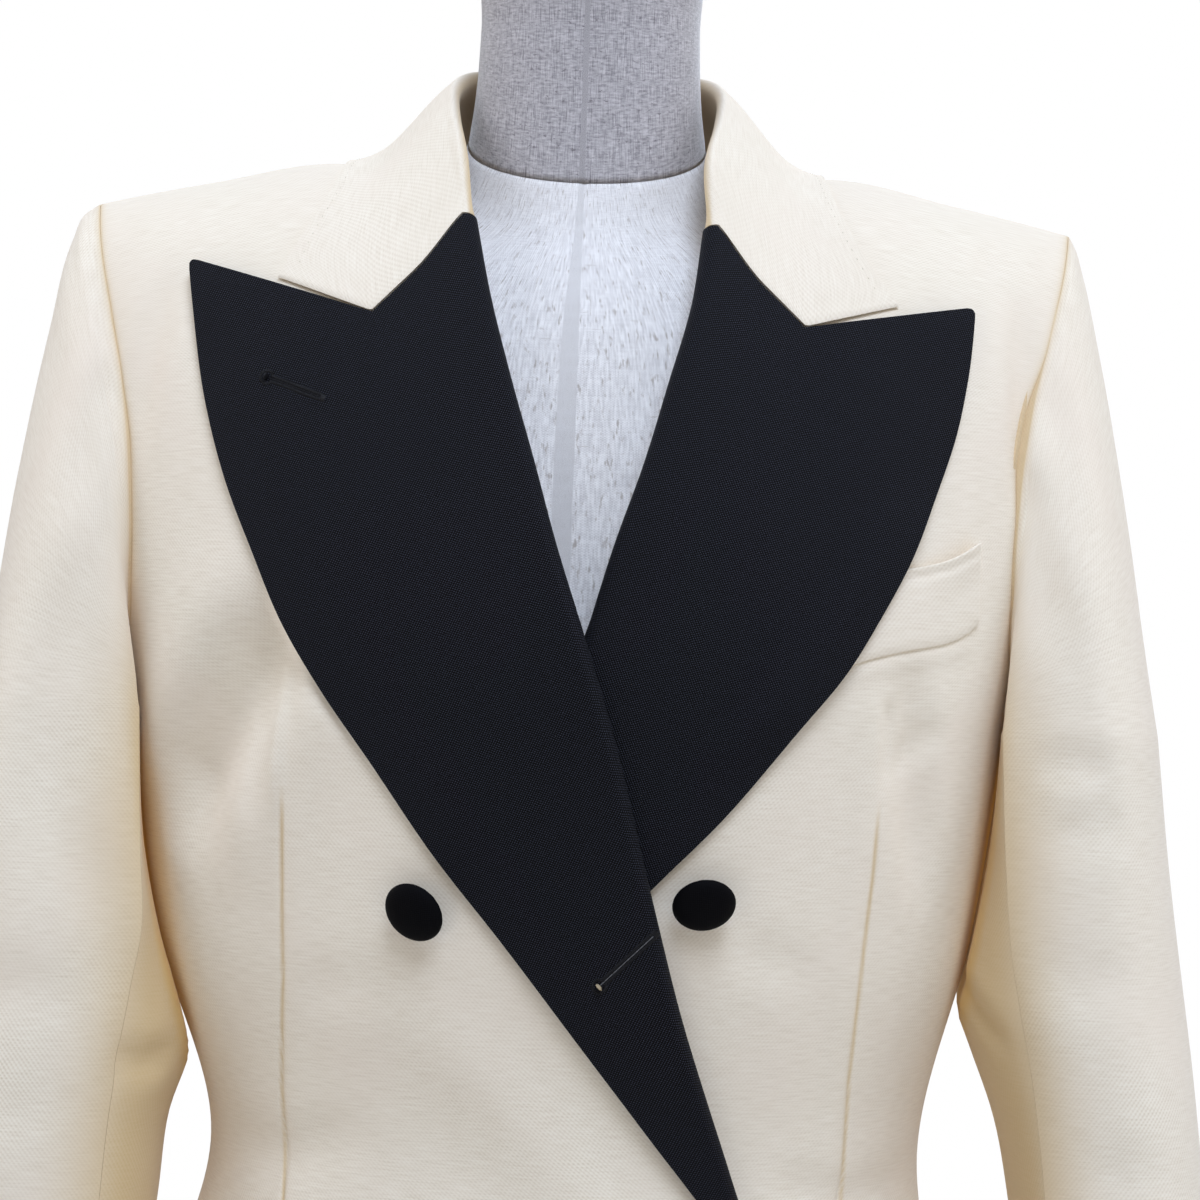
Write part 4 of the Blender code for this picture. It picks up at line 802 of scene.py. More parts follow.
def collar_body(shares):
    """Across the collar: its thickness, and how far its outer face stands off what it lies on."""
    pressed = smooth_step((shares - FOLD_SHARE) / (1 - FOLD_SHARE))
    thickness = COLLAR + (COLLAR_EDGE - COLLAR) * pressed
    return thickness, thickness + COLLAR_LAY + (COLLAR_EDGE_LAY - COLLAR_LAY) * pressed


def collar_end(side, shares):
    """The collar's end: round the front's edge, down the gorge to the notch, and out to the corner."""
    turned = shares < FOLD_SHARE
    fall = (shares[~turned] - FOLD_SHARE) / (1 - FOLD_SHARE)
    flat = along_corners(fall, (0, COLLAR_NOTCH_SHARE, 1), (*GORGE[side], COLLAR_CORNER[side]))
    flat = flat + np.array(COLLAR_GAP) * (fall < 1)[:, None]
    from_roll = distance(flat, flat[0])
    lift = CLOTH + collar_body(shares[~turned])[1] + ROLL_LIFT * np.exp(-from_roll / ROLL_SOFTNESS)
    outline = lapel_outline(side, LAPEL_ROWS, 1)[-2:, 0]
    edge, _ = on_front(outline[:, 0], outline[:, 1], np.full(2, CLOTH / 2), side, 0)
    turns = ROLL_TURN * (1 - shares[turned] / FOLD_SHARE)
    return folded_over(flat[None], lift[None], side, turns, unit(edge[1:] - edge[:1]))[0][0]


def collar_section(seam, fold, edge, shares):
    """Points across the collar: up the stand, over the fold, and down the fall."""
    rise = unit(fold - seam)
    out = edge - fold
    out = unit(out - rise * np.dot(out, rise))
    inner = fold - (out + rise) * FOLD_RADIUS
    outer = fold + (out - rise) * FOLD_RADIUS
    middle = blend(outer, edge, MIDDLE_SHARE) - rise * FALL_DROP
    points = np.array([seam, (seam + inner) / 2, inner, fold, outer, middle, edge])
    return through(COLLAR_KNOTS, points, shares)


def collar_half(side, shares):
    """Sections of one half, from the lapel to the nape, on the side where x is positive."""
    face = CLOTH + COLLAR_EDGE_LAY + COLLAR_EDGE
    sections = [collar_end(side, shares)]
    for _, seam_at, fold, edge_at, behind in COLLAR_STATIONS:
        if behind:
            around, up = back_edge(float(seam_at))
        else:
            around, up = place(read(FRONT_EDGE, edge_index(side), seam_at), seam_at)
        foot = body(around, up)
        inward = unit(np.array([*NECK_MIDDLE, foot[2]]) - foot)
        seam = foot + normal(around, up) * CLOTH / 2 + inward * ROLL_RADIUS
        around, up = place(*edge_at, behind)
        edge = body(around, up) + normal(around, up) * face
        sections.append(collar_section(seam, np.array(fold), edge, shares))
    return np.array(sections)


def room_beside(points, side):
    """How far out the body's side reaches level with the points, with room for its cloth."""
    y, z = points[..., 1], points[..., 2]
    half, depth = section_size(np.clip((z - HEM) / (BUST - HEM), 0, 1), y < 0)
    deep = np.clip(np.abs(y) / (depth + SLEEVE_CLEAR), 0, 1)
    return (half + side * sway(z) + SLEEVE_CLEAR) * (1 - deep**ROUNDNESS) ** (1 / ROUNDNESS)


def beside_body(points, side):
    """Sleeve points pushed sideways until they are clear of the body."""
    below = smooth_step((PUSH_BELOW - points[..., 2]) / PUSH_FADE)
    short = room_beside(points, side) * below - points[..., 0]
    moved = points.copy()
    moved[..., 0] += soft_push(short, PUSH_SOFTNESS) * below
    return moved


def squared_off(edge, beside):
    """Unit vectors from an edge towards the points beside it, square to the edge."""
    along = unit(np.gradient(edge, axis=0))
    across = beside - edge
    return unit(across - along * np.sum(across * along, axis=-1, keepdims=True))


# ---------------------------------------------------------------- creases and seams

def on_sleeve(grid, turn, height):
    """The point of a sleeve's grid at that turn, in degrees from the underarm, and that height."""
    column_at = int(round(turn / 360 * grid.shape[1])) % grid.shape[1]
    line = grid[:, column_at]
    return line[np.argmin(np.abs(line[:, 2] - height))]


def nearness(points, path, width):
    """How far points are from a path, in widths, and how far along it they are, from 0 to 1."""
    best = np.full(points.shape[:-1], np.inf)
    along = np.zeros(points.shape[:-1])
    for k, (start, end) in enumerate(zip(path, path[1:])):
        run = end - start
        t = np.clip((points - start) @ run / (run @ run), 0, 1)
        apart = distance(points - start, t[..., None] * run)
        closer = apart < best
        best = np.where(closer, apart, best)
        along = np.where(closer, (k + t) / (len(path) - 1), along)
    return best / width, along


def crease(points, path, width, depth):
    """A soft trough along a path, with its cloth pushed up a little beside it and fading at its ends."""
    apart, along = nearness(points, np.asarray(path), width)
    fade = smooth_step(along / CREASE_FADE) * smooth_step((1 - along) / CREASE_FADE)
    return -depth * fade * np.exp(-apart**2 / CREASE_SPREAD) * (1 - CREASE_SWELL * apart**2)


def creased(lift, points, table, side, spot):
    """A lift with one side's creases added to it. spot: makes a point of a place in the table."""
    for _, which, width, depth, *path in table:
        if which == side:
            lift = lift + crease(points, [spot(*at) for at in path], width, depth)
    return lift


def bare_front(across, height, side):
    """1 on the cloth outside the lapel and 0 under it."""
    beside = smooth_step((across - outline_at(LAPEL_OUTER[side], height) + BARE_FROM) / BARE_FADE)
    return np.where(height < BREAK, 1, beside)


# ---------------------------------------------------------------- meshes

def closed_mesh(name, points, faces, flat=None, painted_shade=None):
    """An object of a smooth mesh whose faces are turned outward.

    flat: where each point lies on the flat cloth, in metres, which the weave follows. The shade
    argument: how much painted shade each point has, from 0 to 1, in folds and seams, where cream cloth is
    painted more golden."""
    mesh = bpy.data.meshes.new(name)
    mesh.from_pydata(points.reshape(-1, 3).tolist(), [], faces)
    if painted_shade is not None:
        mesh.attributes.new("painted_shade", "FLOAT", "POINT").data.foreach_set("value", painted_shade)
    made = bmesh.new()
    made.from_mesh(mesh)
    bmesh.ops.recalc_face_normals(made, faces=made.faces)
    made.to_mesh(mesh)
    made.free()
    if flat is not None:
        corner = np.zeros(len(mesh.loops), int)
        mesh.loops.foreach_get("vertex_index", corner)
        mesh.uv_layers.new(name="cloth").data.foreach_set("uv", flat[corner].ravel())
    mesh.shade_smooth()
    piece = bpy.data.objects.new(name, mesh)
    bpy.context.scene.collection.objects.link(piece)
    return piece


def closed_sheet(name, face, inward, thickness, cloth, side, swaying, painted_shade):
    """A closed sheet of cloth: its outer face is a grid of points, its inner one lies inward of it."""
    rows, columns = face.shape[:2]
    face = face.copy()
    if swaying:
        face[..., 0] += side * sway(face[..., 2])
    points = np.stack([face, face + inward * thickness])
    if side < 0:
        points[..., 0] = -points[..., 0]
    count = rows * columns
    index = np.arange(count).reshape(rows, columns)
    quads = np.stack([index[:-1, :-1], index[:-1, 1:], index[1:, 1:], index[1:, :-1]], -1).reshape(-1, 4)
    rim = np.concatenate([index[0, :-1], index[:-1, -1], index[-1, :0:-1], index[:0:-1, 0]])
    following = np.roll(rim, -1)
    edge = np.stack([following, rim, rim + count, following + count], -1)
    faces = np.concatenate([quads, quads[:, ::-1] + count, edge])
    if painted_shade is not None:
        painted_shade = np.tile(np.clip(painted_shade, 0, 1).ravel(), 2)
    return closed_mesh(name, points, faces.tolist(), np.tile(cloth.reshape(-1, 2), (2, 1)), painted_shade)


def soften_edges(piece, width):
    """Rounds a sheet's cut edges."""
    bevel = piece.modifiers.new("edges", "BEVEL")
    bevel.limit_method = "ANGLE"
    bevel.angle_limit = math.radians(CUT_ANGLE)
    bevel.width = width
    bevel.segments = 2
    piece.modifiers.new("shading", "WEIGHTED_NORMAL").keep_sharp = False


def finish_piece(piece, material, slot, *nodes):
    piece.data.materials.append(material)
    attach(piece, "root")
    if nodes:
        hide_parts(*nodes)


def dress_sheet(node, face, inward, thickness, cloth, side, swaying=True, painted_shade=None):
    """Builds one cut piece of cloth in place of its solid."""
    kind = node.removesuffix("_right").removesuffix("_left")
    cut, area, held, rounding = SHEETS[kind]
    piece = closed_sheet(node + "_cloth", face, inward, thickness, cloth, side, swaying, painted_shade)
    soften_edges(piece, rounding)
    if kind == "lapel":
        finish_piece(piece, BLACK, "black_cloth", node)
    else:
        finish_piece(piece, CREAM, "cream_cloth", node)


def grid_cloth(face):
    """Where a grid lies on its cloth: metres along its rows, and metres along its columns."""
    across = np.linalg.norm(np.diff(face, axis=1), axis=-1)
    u = np.concatenate([np.zeros((face.shape[0], 1)), np.cumsum(across, axis=1)], 1)
    return np.stack([u, np.broadcast_to(reached(face)[:, None], u.shape)], -1)


# ---------------------------------------------------------------- fronts and backs

def outer_edge(row, behind):
    """The side seam and then the armhole, as (around, up), for rows of a panel."""
    low = np.clip(row / LOW_ROWS, 0, 1)
    high = np.clip((row - LOW_ROWS) / ARM_ROWS, 0, 1)
    underarm = armhole(0.0, behind)[1]
    seam = np.stack([np.full(len(row), SIDE_SEAM), low * underarm], -1)
    edge = np.where((row < LOW_ROWS)[:, None], seam, armhole(high, behind))
    half_gap = np.degrees(SEAM / 2 / SIDE_RADIUS) * (1 if behind else -1)
    edge[row <= LOW_ROWS, 0] += half_gap
    edge[-1, 1] = 2 - SHOULDER_GAP
    return edge


def front_edge(row, side):
    """(around, up) along a front's edge and its lapel's roll line."""
    height = HEM + (FRONT_EDGE[-1][1] - HEM) * row / PANEL_ROWS
    inner = np.stack(place(read(FRONT_EDGE, edge_index(side), height), height), -1)
    inner[-1, 1] = 2 - SHOULDER_GAP
    return inner


def dart_share(inner, outer, side):
    """How far across the front, from 0 to 1, its columns are crowded in each row: about its dart."""
    height = HEM + np.linspace(0, 1, len(inner)) * (DART_TOP - HEM) * DART_RUN
    around = place(outline_at(DARTS[side], height), height)[0]
    share = (around - inner[:, 0]) / (outer[:, 0] - inner[:, 0])
    return np.clip(share, *DART_SHARES)


def panel_grid(side, behind):
    """A body panel's points and outward directions, before any crease."""
    row = np.linspace(0, PANEL_ROWS, PANEL_ROWS * PANEL_FINE + 1)
    outer = outer_edge(row, behind)
    if behind:
        inner = back_edge(row)
        inner[-1, 1] = 2 - SHOULDER_GAP
        share = np.broadcast_to(np.linspace(0, 1, BACK_COLUMNS + 1), (len(row), BACK_COLUMNS + 1))
    else:
        inner = front_edge(row, side)
        middle = dart_share(inner, outer, side)[:, None]
        low = np.linspace(0, 1, FRONT_COLUMNS // 2 + 1)[None]
        before = middle * (1 - (1 - low) ** DART_CROWDING)
        share = np.concatenate([before, middle + (1 - middle) * low[:, 1:] ** DART_CROWDING], 1)
    flat = blend(inner[:, None], outer[:, None], share[..., None])
    points = body(flat[..., 0], flat[..., 1])
    out = normal(flat[..., 0], flat[..., 1])
    rise = 0 if behind else lap(points[..., 0], points[..., 2], side)
    return points + out * np.expand_dims(CLOTH + rise * np.ones(points.shape[:2]), -1), out


def dart_sewn(height):
    """1 where a dart is sewn and 0 above its point."""
    return smooth_step((DART_TOP - height) / DART_FADE)


def dart_distance(points, side):
    return points[..., 0] - outline_at(DARTS[side], points[..., 2])


def dart(points, side):
    """The dart's seam: a narrow groove, with a low swell beside it towards the front's edge."""
    from_seam = dart_distance(points, side)
    sewn = dart_sewn(points[..., 2])
    groove = DART_GROOVE * np.exp(-(from_seam / DART_WIDTH) ** 2) * sewn
    swell = DART_SWELL * np.exp(-((from_seam + DART_SWELL_AT) / DART_SWELL_WIDTH) ** 2) * sewn
    return swell - groove


def welt_sag(share):
    """How far the welt's lower edge hangs below a straight line."""
    return WELT_SAG * np.sin(np.pi * share**3)


def welt_bed(points):
    """The front swells softly just under the welt's seam."""
    share = np.linspace(0, 1, WELT_POINTS)
    (inner, low), (outer, high) = WELT_INNER[0], WELT_OUTER[0]
    height = low + (high - low) * share - welt_sag(share) - WELT_SWELL_BELOW
    line = body(*place(inner + (outer - inner) * share, height))
    apart, along = nearness(points, line, WELT_SWELL_WIDTH)
    return WELT_SWELL * np.exp(-apart**2) * smooth_step((1 - along) / WELT_SWELL_FADE)


def panel_shape(side, behind):
    """A body panel's outer face, sewn and creased, and its outward directions."""
    points, out = panel_grid(side, behind)

    def spot(across, height):
        return body(*place(across, height, behind))

    if behind:
        lift = creased(0, points, BACK_CREASES, side, spot)
    else:
        lift = creased(dart(points, side), points, FRONT_CREASES, side, spot)
        if side > 0:
            lift = lift + welt_bed(points)
        lift = lift * bare_front(points[..., 0], points[..., 2], side)
    return points + out * lift[..., None], out


def panel_painted_shade(face, side, behind):
    """Painted shade on the panels along armhole and centre back, beside the arm, and along the darts."""
    height = face[..., 2]
    armhole_rows = smooth_step((np.arange(len(face)) - LOW_ROWS * PANEL_FINE) / PANEL_FINE)[:, None]
    seam = SEAM_PAINTED_SHADE * np.exp(-distance(face, face[:, -1:]) / SEAM_SHADE) * armhole_rows
    level = smooth_step((SIDE_TOP - height) / SIDE_LEVEL_FADE)
    level = level * smooth_step((height - SIDE_LOW) / SIDE_LEVEL_FADE)
    from_side = np.abs(face[..., 1]) + SIDE_SHADE * smooth_step(face[..., 1] / SIDE_FADE)
    painted_shade = np.maximum(seam, smooth_step((SIDE_SHADE - from_side) / SIDE_FADE) * level)
    if behind:
        line = np.exp(-distance(face, face[:, :1]) / SEAM_SHADE)
    else:
        line = np.exp(-(dart_distance(face, side) / DART_WIDTH) ** 2) * dart_sewn(height)
    return np.maximum(painted_shade, LINE_PAINTED_SHADE * line)


def panel_cloth(face):
    """Where a panel lies on its cloth: the weave runs level, and on over the shoulder."""
    cloth = grid_cloth(face)
    over = WEAVE_OVER * np.maximum(WEAVE_DEPTH - np.abs(face[..., 1]), 0)
    cloth[..., 1] = face[..., 2] + over * smooth_step((face[..., 2] - WEAVE_FROM) / WEAVE_FADE)
    return cloth


def dress_panels():
    for side, word in SIDES:
        for behind, kind in ((False, "front_"), (True, "back_")):
            face, out = panel_shape(side, behind)
            dress_sheet(kind + word, face, -out, CLOTH, panel_cloth(face), side,
                        painted_shade=panel_painted_shade(face, side, behind))


# ---------------------------------------------------------------- sleeves

def squared(wave, power=SLEEVE_SQUARENESS):
    return np.sign(wave) * np.abs(wave) ** power


def arm_sections(side, turn):
    """Level sections of a sleeve below its cap, downwards, each turned in at its forearm seam."""
    table = SLEEVES[side]
    height = np.linspace(table[-1][1], table[0][1], SLEEVE_ROWS * SLEEVE_FINE + 1)[:, None]
    outer, inner, seam, middle_y, half_depth = [read(table, index, height) for index in range(2, 7)]
    middle, half = (outer + inner) / 2, (outer - inner) / 2
    inward = squared(np.cos(turn))
    at_seam = np.pi * FOREARM_SEAM / ARM_ROWS
    seam_inward = squared(np.cos(at_seam))
    reach = (middle - seam) / half
    under = 1 - (1 - reach) * (1 - inward) / (1 - seam_inward)
    over = reach * inward / seam_inward
    hind = np.where(turn > np.pi * 3 / 2, squared(np.cos(turn), SLEEVE_HUG), inward)
    x = middle - half * np.where(turn < at_seam, under, np.where(turn < np.pi / 2, over, hind))
    y = middle_y - half_depth * squared(np.sin(turn))
    return beside_body(np.stack(np.broadcast_arrays(x, y, height), -1), side)


def sleeve_grid(side):
    """The sleeve's outer face: rows from the armhole to the cuff, columns round from the underarm."""
    start, out = armhole_loop()
    radial = unit((start - np.array(ARMHOLE_MIDDLE)) * np.array([0, 1, 1]))
    start = start + radial * CLOTH
    turn = np.arange(len(start)) * 2 * np.pi / len(start)
    start[:, 0] += SEAM + CLOTH * np.maximum(out[:, 0], 0) + UNDERARM_CLEAR * np.cos(turn / 2) ** 2
    arm = arm_sections(side, turn)
    rows = np.arange((len(CAP_ROWS) - 1) * SLEEVE_FINE) / SLEEVE_FINE
    down = through(np.arange(len(CAP_ROWS)), CAP_ROWS, rows)
    bulge = through(column(SLEEVE_HEAD, 0), column(SLEEVE_HEAD, 1 if side < 0 else 2), down)
    high = np.sin(turn / 2) ** 2
    push = np.stack([high, -HEAD_FORWARD * np.sin(turn), HEAD_UP * high], -1)
    cap = []
    for part, swollen in zip(down, bulge):
        ease = part + HEAD_EASE * np.sin(np.pi * part) * high[:, None]
        cap.append(blend(start, arm[0], ease) + push * swollen)
    cap = np.array(cap)
    cap[1:] = beside_body(cap[1:], side)
    return np.concatenate([cap, arm]), radial


def sleeve_shape(side):
    """A sleeve's outer face, creased, and its inward directions."""
    face, radial = sleeve_grid(side)
    inward = grid_normals(face, ring=True)
    if np.sum(inward * (face - face.mean(axis=1, keepdims=True))) > 0:
        inward = -inward
    inward[0] = -radial

    def spot(turn, height):
        return on_sleeve(face, turn, height)

    lift = creased(0, face, SLEEVE_CREASES, side, spot)
    lift = lift * smooth_step(np.arange(len(face)) / SLEEVE_FINE)[:, None]
    return face - inward * lift[..., None], inward


def turned_under(face, inward):
    """The sleeve's cloth runs on a little under the panels' edges round the armhole."""
    edge, out = armhole_loop()
    onward = edge - np.array(BEYOND_ARMHOLE)
    onward = unit(onward - out * np.sum(onward * out, axis=-1, keepdims=True))
    rows = [edge + onward * reach - out * UNDER for reach in (ALLOWANCE, 0.0)]
    return np.concatenate([rows, face]), np.concatenate([[-out, -out], inward])


def sleeve_painted_shade(face, side):
    """Painted shade on the sleeves under the armhole's edge, along the body's side, and round the under
    sleeve.
    """
    steps = np.linalg.norm(np.diff(face[2:], axis=0), axis=-1)
    from_head = np.concatenate([np.zeros((3, face.shape[1])), np.cumsum(steps, axis=0)])
    level = smooth_step((ARM_TOP - face[..., 2]) / ARM_LEVEL_FADE)
    from_body = face[..., 0] - room_beside(face, side)
    beside = np.exp(-(from_body / ARM_SHADE) ** 2) * level * smooth_step(1 - face[..., 1] / SIDE_FADE)
    turn = np.arange(face.shape[1]) * 2 * np.pi / face.shape[1]
    round_body = np.minimum(turn, 2 * (2 * np.pi - turn))
    under = UNDER_SHADE * smooth_step((UNDER_TURN - round_body) / UNDER_FADE) * level
    return np.maximum(np.maximum(SEAM_PAINTED_SHADE * np.exp(-from_head / SEAM_SHADE), beside), under)


def dress_sleeves():
    for side, word in SIDES:
        face, inward = turned_under(*sleeve_shape(side))
        painted_shade = sleeve_painted_shade(face, side)
        down = reached(face)
        total = face.shape[1]
        seam, hind = FOREARM_SEAM * SLEEVE_FINE, total - HIND_SEAM * SLEEVE_FINE
        top = list(range(seam, hind + 1))
        under = list(range(hind, total)) + list(range(seam + 1))
        for kind, columns in (("top_sleeve_", top), ("under_sleeve_", under)):
            part = face[:, columns].copy()
            part[:, 0] += squared_off(part[:, 0], part[:, 1]) * SLEEVE_SEAM / 2
            part[:, -1] += squared_off(part[:, -1], part[:, -2]) * SLEEVE_SEAM / 2
            cloth = grid_cloth(part)
            cloth[..., 1] = -down[:, None]
            dress_sheet(kind + word, part,
                        inward[:, columns], CLOTH, cloth, side, False, painted_shade[:, columns])


# ---------------------------------------------------------------- lapels, collar and welt

def rounded_corner(flat, radius):
    """Rounds the last corner of a grid of (across, height), the peak, keeping its other points."""
    corner, below, beside = flat[-1, -1], flat[-2, -1], flat[-1, -2]
    up = unit(corner - below)
    out = unit(corner - beside)
    away = corner - flat
    spread = abs(up[0] * out[1] - up[1] * out[0])
    from_top = np.abs(away[..., 0] * out[1] - away[..., 1] * out[0]) / spread
    from_side = np.abs(away[..., 0] * up[1] - away[..., 1] * up[0]) / spread
    a = np.clip(1 - from_side / radius, 0, 1)
    b = np.clip(1 - from_top / radius, 0, 1)
    shrink = 1 - np.maximum(a, b) / np.maximum(np.hypot(a, b), 1e-9)
    return flat - radius * shrink[..., None] * (a[..., None] * out + b[..., None] * up)


def lapel_shape(side):
    """A lapel's outer face, its outward directions, and where it lies on its cloth."""
    flat = lapel_outline(side, LAPEL_ROWS * LAPEL_FINE_ROWS, LAPEL_COLUMNS * LAPEL_FINE_COLUMNS)
    lift = lapel_lift(flat, side)
    flat = rounded_corner(flat, PEAK_ROUNDING)
    turns = np.linspace(ROLL_TURN, 0, ROLL_STEPS * ROLL_FINE, endpoint=False)
    face, out = folded_over(flat, lift, side, turns)
    turned = np.linspace(-ROLL_CLOTH, 0, len(turns), endpoint=False)
    rolled = np.stack([turned + flat[:, :1, 0], flat[:, :1, 1] + 0 * turned], -1)
    return face, out, np.concatenate([rolled, flat], 1)


def dress_lapels():
    for side, word in SIDES:
        face, out, flat = lapel_shape(side)
        dress_sheet("lapel_" + word, face, -out, LAPEL, flat, side)


def collar_shape():
    """The collar's outer face, its inward directions, and its thickness across."""
    turned = np.linspace(0, FOLD_SHARE, STAND_COLUMNS, endpoint=False)
    shares = np.concatenate([turned, np.linspace(FOLD_SHARE, 1, FALL_COLUMNS)])
    right = collar_half(-1, shares) * np.array([-1, 1, 1])
    sections = np.concatenate([right, collar_half(1, shares)[-2::-1]])
    face = along_curve(sections, np.linspace(0, 1, COLLAR_ROWS + 1))
    lying = shares > FOLD_SHARE
    thickness, standing = collar_body(shares)
    face[1:-1, lying] = rest_on(face[1:-1, lying], CLOTH + standing[lying])
    inward = grid_normals(face)
    if np.sum(inward[:, -1] * (face[:, -1] - np.array(CHEST_MIDDLE))) > 0:
        inward = -inward
    return face, inward, thickness[:, None]


def dress_collar():
    face, inward, thickness = collar_shape()
    # the collar's stand gets painted shade behind its fold
    behind_fold = smooth_step((1 - np.arange(face.shape[1]) / STAND_COLUMNS) / STAND_FADE - 1)
    dress_sheet("collar", face, inward, thickness,
                grid_cloth(face)[..., ::-1], 1, painted_shade=STAND_PAINTED_SHADE * behind_fold + 0 * face[..., 0])


def welt_shape(columns=60, rows=30):
    """The welt lies on the front, and its upper outer corner curls a little open."""
    s = np.linspace(0, 1, columns + 1)[None, :]
    t = np.linspace(0, 1, rows + 1)[:, None]
    inner, outer = [low + (high - low) * t[..., None] for low, high in np.array([WELT_INNER, WELT_OUTER])]
    flat = blend(inner, outer, s[..., None])
    height = flat[..., 1] - welt_sag(s) * (1 - t) - WELT_TOP_SAG * np.sin(np.pi * s**1.6) * t**2
    curl = WELT_CURL * smooth_step((s - CURL_FROM) / 0.5) * smooth_step((t - CURL_FROM) / 0.55)
    lip = WELT_LIP * np.exp(-((1 - t) / WELT_BAND) ** 2)
    lip = lip - WELT_DIP * np.exp(-((1 - t - WELT_DIP_AT) / WELT_BAND) ** 2)
    tuck = -WELT_TUCK * np.exp(-(t / WELT_BAND) ** 2) + 0 * s
    face, out = on_front(flat[..., 0], height, 2 * CLOTH + LAY + curl + lip + tuck, 1)
    return face, out, np.stack([flat[..., 0], height], -1)


def dress_welt():
    face, out, flat = welt_shape()
    dress_sheet("pocket_welt", face, -out, CLOTH, flat, 1)


# ---------------------------------------------------------------- buttons

def tube_faces(count, sides, first=0):
    """The faces of a tube of rings of points, with its ends filled."""
    index = np.arange(count * sides).reshape(count, sides) + first
    turned = np.roll(index, -1, axis=1)
    quads = np.stack([index[:-1], turned[:-1], turned[1:], index[1:]], -1).reshape(-1, 4)
    return quads.tolist() + [index[0][::-1].tolist(), index[-1].tolist()]


def circle_round(axis, turns):
    """Unit vectors round an axis and square to it."""
    first = unit(np.cross(np.array([0.0, 0.0, 1.0]), axis))
    return first * np.cos(turns)[:, None] + np.cross(axis, first) * np.sin(turns)[:, None]


def button_shape(name, across, height, side, droop, swing):
    """A covered button: a low dome of cloth gathered under its rim, on a shank."""
    layer = CLOTH + SEAM
    if name == "button_close_left":
        layer += CLOSING_LAYER
    foot, out = on_front(np.array(across), np.array(height), np.array(layer), side)
    foot = foot + np.array([side * sway(height), 0, 0])
    tilt = math.radians(droop)
    lean = math.radians(swing)
    forward = unit(out * math.cos(tilt) + np.array([math.sin(lean), 0, -math.cos(lean)]) * math.sin(tilt))
    knots = np.arange(len(BUTTON_PROFILE))
    at = np.linspace(0, len(knots) - 1, BUTTON_RINGS + 1)[1:]
    radius = through(knots, column(BUTTON_PROFILE, 0), at)
    ahead = through(knots, column(BUTTON_PROFILE, 1), at)
    turns = np.arange(BUTTON_SIDES) * 2 * np.pi / BUTTON_SIDES
    uneven = PLEATS_UNEVEN * np.sin(turns * 2)
    pleats = PLEAT_DEPTH * np.cos(turns * PLEATS + uneven) * np.ones((len(at), 1))
    pleats = pleats * smooth_step((at - PLEATS_FROM) / PLEATS_FADE)[:, None]
    rings = foot + out * SHANK_LENGTH + forward * (ahead + SHANK_TOP)[:, None, None] \
        + circle_round(forward, turns)[None] * (radius[:, None] + pleats)[..., None]
    rings = np.concatenate([rings, (foot + circle_round(out, turns) * SHANK_RADIUS)[None]])
    if side < 0:
        rings[..., 0] = -rings[..., 0]
    length = np.append(np.cumsum(np.full(len(at), RING_CLOTH)), SHANK_CLOTH)
    flat = length[:, None, None] * np.stack([np.cos(turns), np.sin(turns)], -1)
    return closed_mesh(name + "_cloth", rings, tube_faces(*rings.shape[:2]), flat.reshape(-1, 2))


def dress_buttons():
    for row in BUTTONS:
        finish_piece(button_shape(*row), BUTTON_CLOTH, "black_cloth", row[0])


# ---------------------------------------------------------------- sewing

def on_piece(piece, spots):
    """Where (x, height) spots lie on a piece seen from the front, and its directions outward there."""
    mesh = piece.data
    corners = [vertex.co for vertex in mesh.vertices]
    tree = BVHTree.FromPolygons(corners, [polygon.vertices[:] for polygon in mesh.polygons])
    hits = [tree.ray_cast(Vector((x, -1.0, z)), Vector((0.0, 1.0, 0.0)))[:2] for x, z in spots]
    return np.array([[list(spot), list(facing)] for spot, facing in hits]).transpose(1, 0, 2)


def stitches(name, starts, ends, out, radius):
    """One mesh of thread stitches, each a low bow over the cloth from its start to its end."""
    t = np.linspace(0, 1, STITCH_RINGS)
    turns = np.arange(STITCH_SIDES) * 2 * np.pi / STITCH_SIDES
    bow = np.sin(np.pi * t)
    sideways = unit(np.cross(out, ends - starts))
    middle = starts[:, None] + (ends - starts)[:, None] * t[:, None]
    middle = middle + out[:, None] * (radius * (bow - 0.3))[:, None]
    ring = sideways[:, None] * np.cos(turns)[:, None] + out[:, None] * np.sin(turns)[:, None]
    size = radius * (0.5 + 0.5 * bow)
    points = middle[:, :, None] + ring[:, None] * size[:, None, None]
    faces = []
    for k in range(len(starts)):
        faces += tube_faces(STITCH_RINGS, STITCH_SIDES, k * STITCH_RINGS * STITCH_SIDES)
    return closed_mesh(name, points, faces)


def keyhole(eyelet, end):
    """Where a buttonhole's stitches start and end, as flat (x, height) pairs, and its bar's."""
    eyelet, end = np.array(eyelet), np.array(end)
    along = unit(end - eyelet)
    across = np.array([-along[1], along[0]])
    length = np.linalg.norm(end - eyelet)
    starts, ends = [], []
    for reach in np.arange(EYELET, length, STITCH_PITCH):
        for way in (1, -1):
            middle = eyelet + along * reach
            starts.append(middle + across * way * SLIT)
            ends.append(middle + across * way * (SLIT + STITCH_LENGTH) + along * STITCH_SLANT)
    for turn in np.arange(EYELET_OPEN, 2 * np.pi - EYELET_OPEN, STITCH_PITCH / EYELET * EYELET_CROWDING):
        way = along * np.cos(turn) + across * np.sin(turn)
        starts.append(eyelet + way * EYELET)
        ends.append(eyelet + way * (EYELET + STITCH_LENGTH))
    for reach in np.arange(BAR_STITCHES) * STITCH_PITCH * BAR_CROWDING:
        starts.append(end + along * reach - across * TACK_HALF)
        ends.append(end + along * reach + across * TACK_HALF)
    return np.array(starts), np.array(ends)


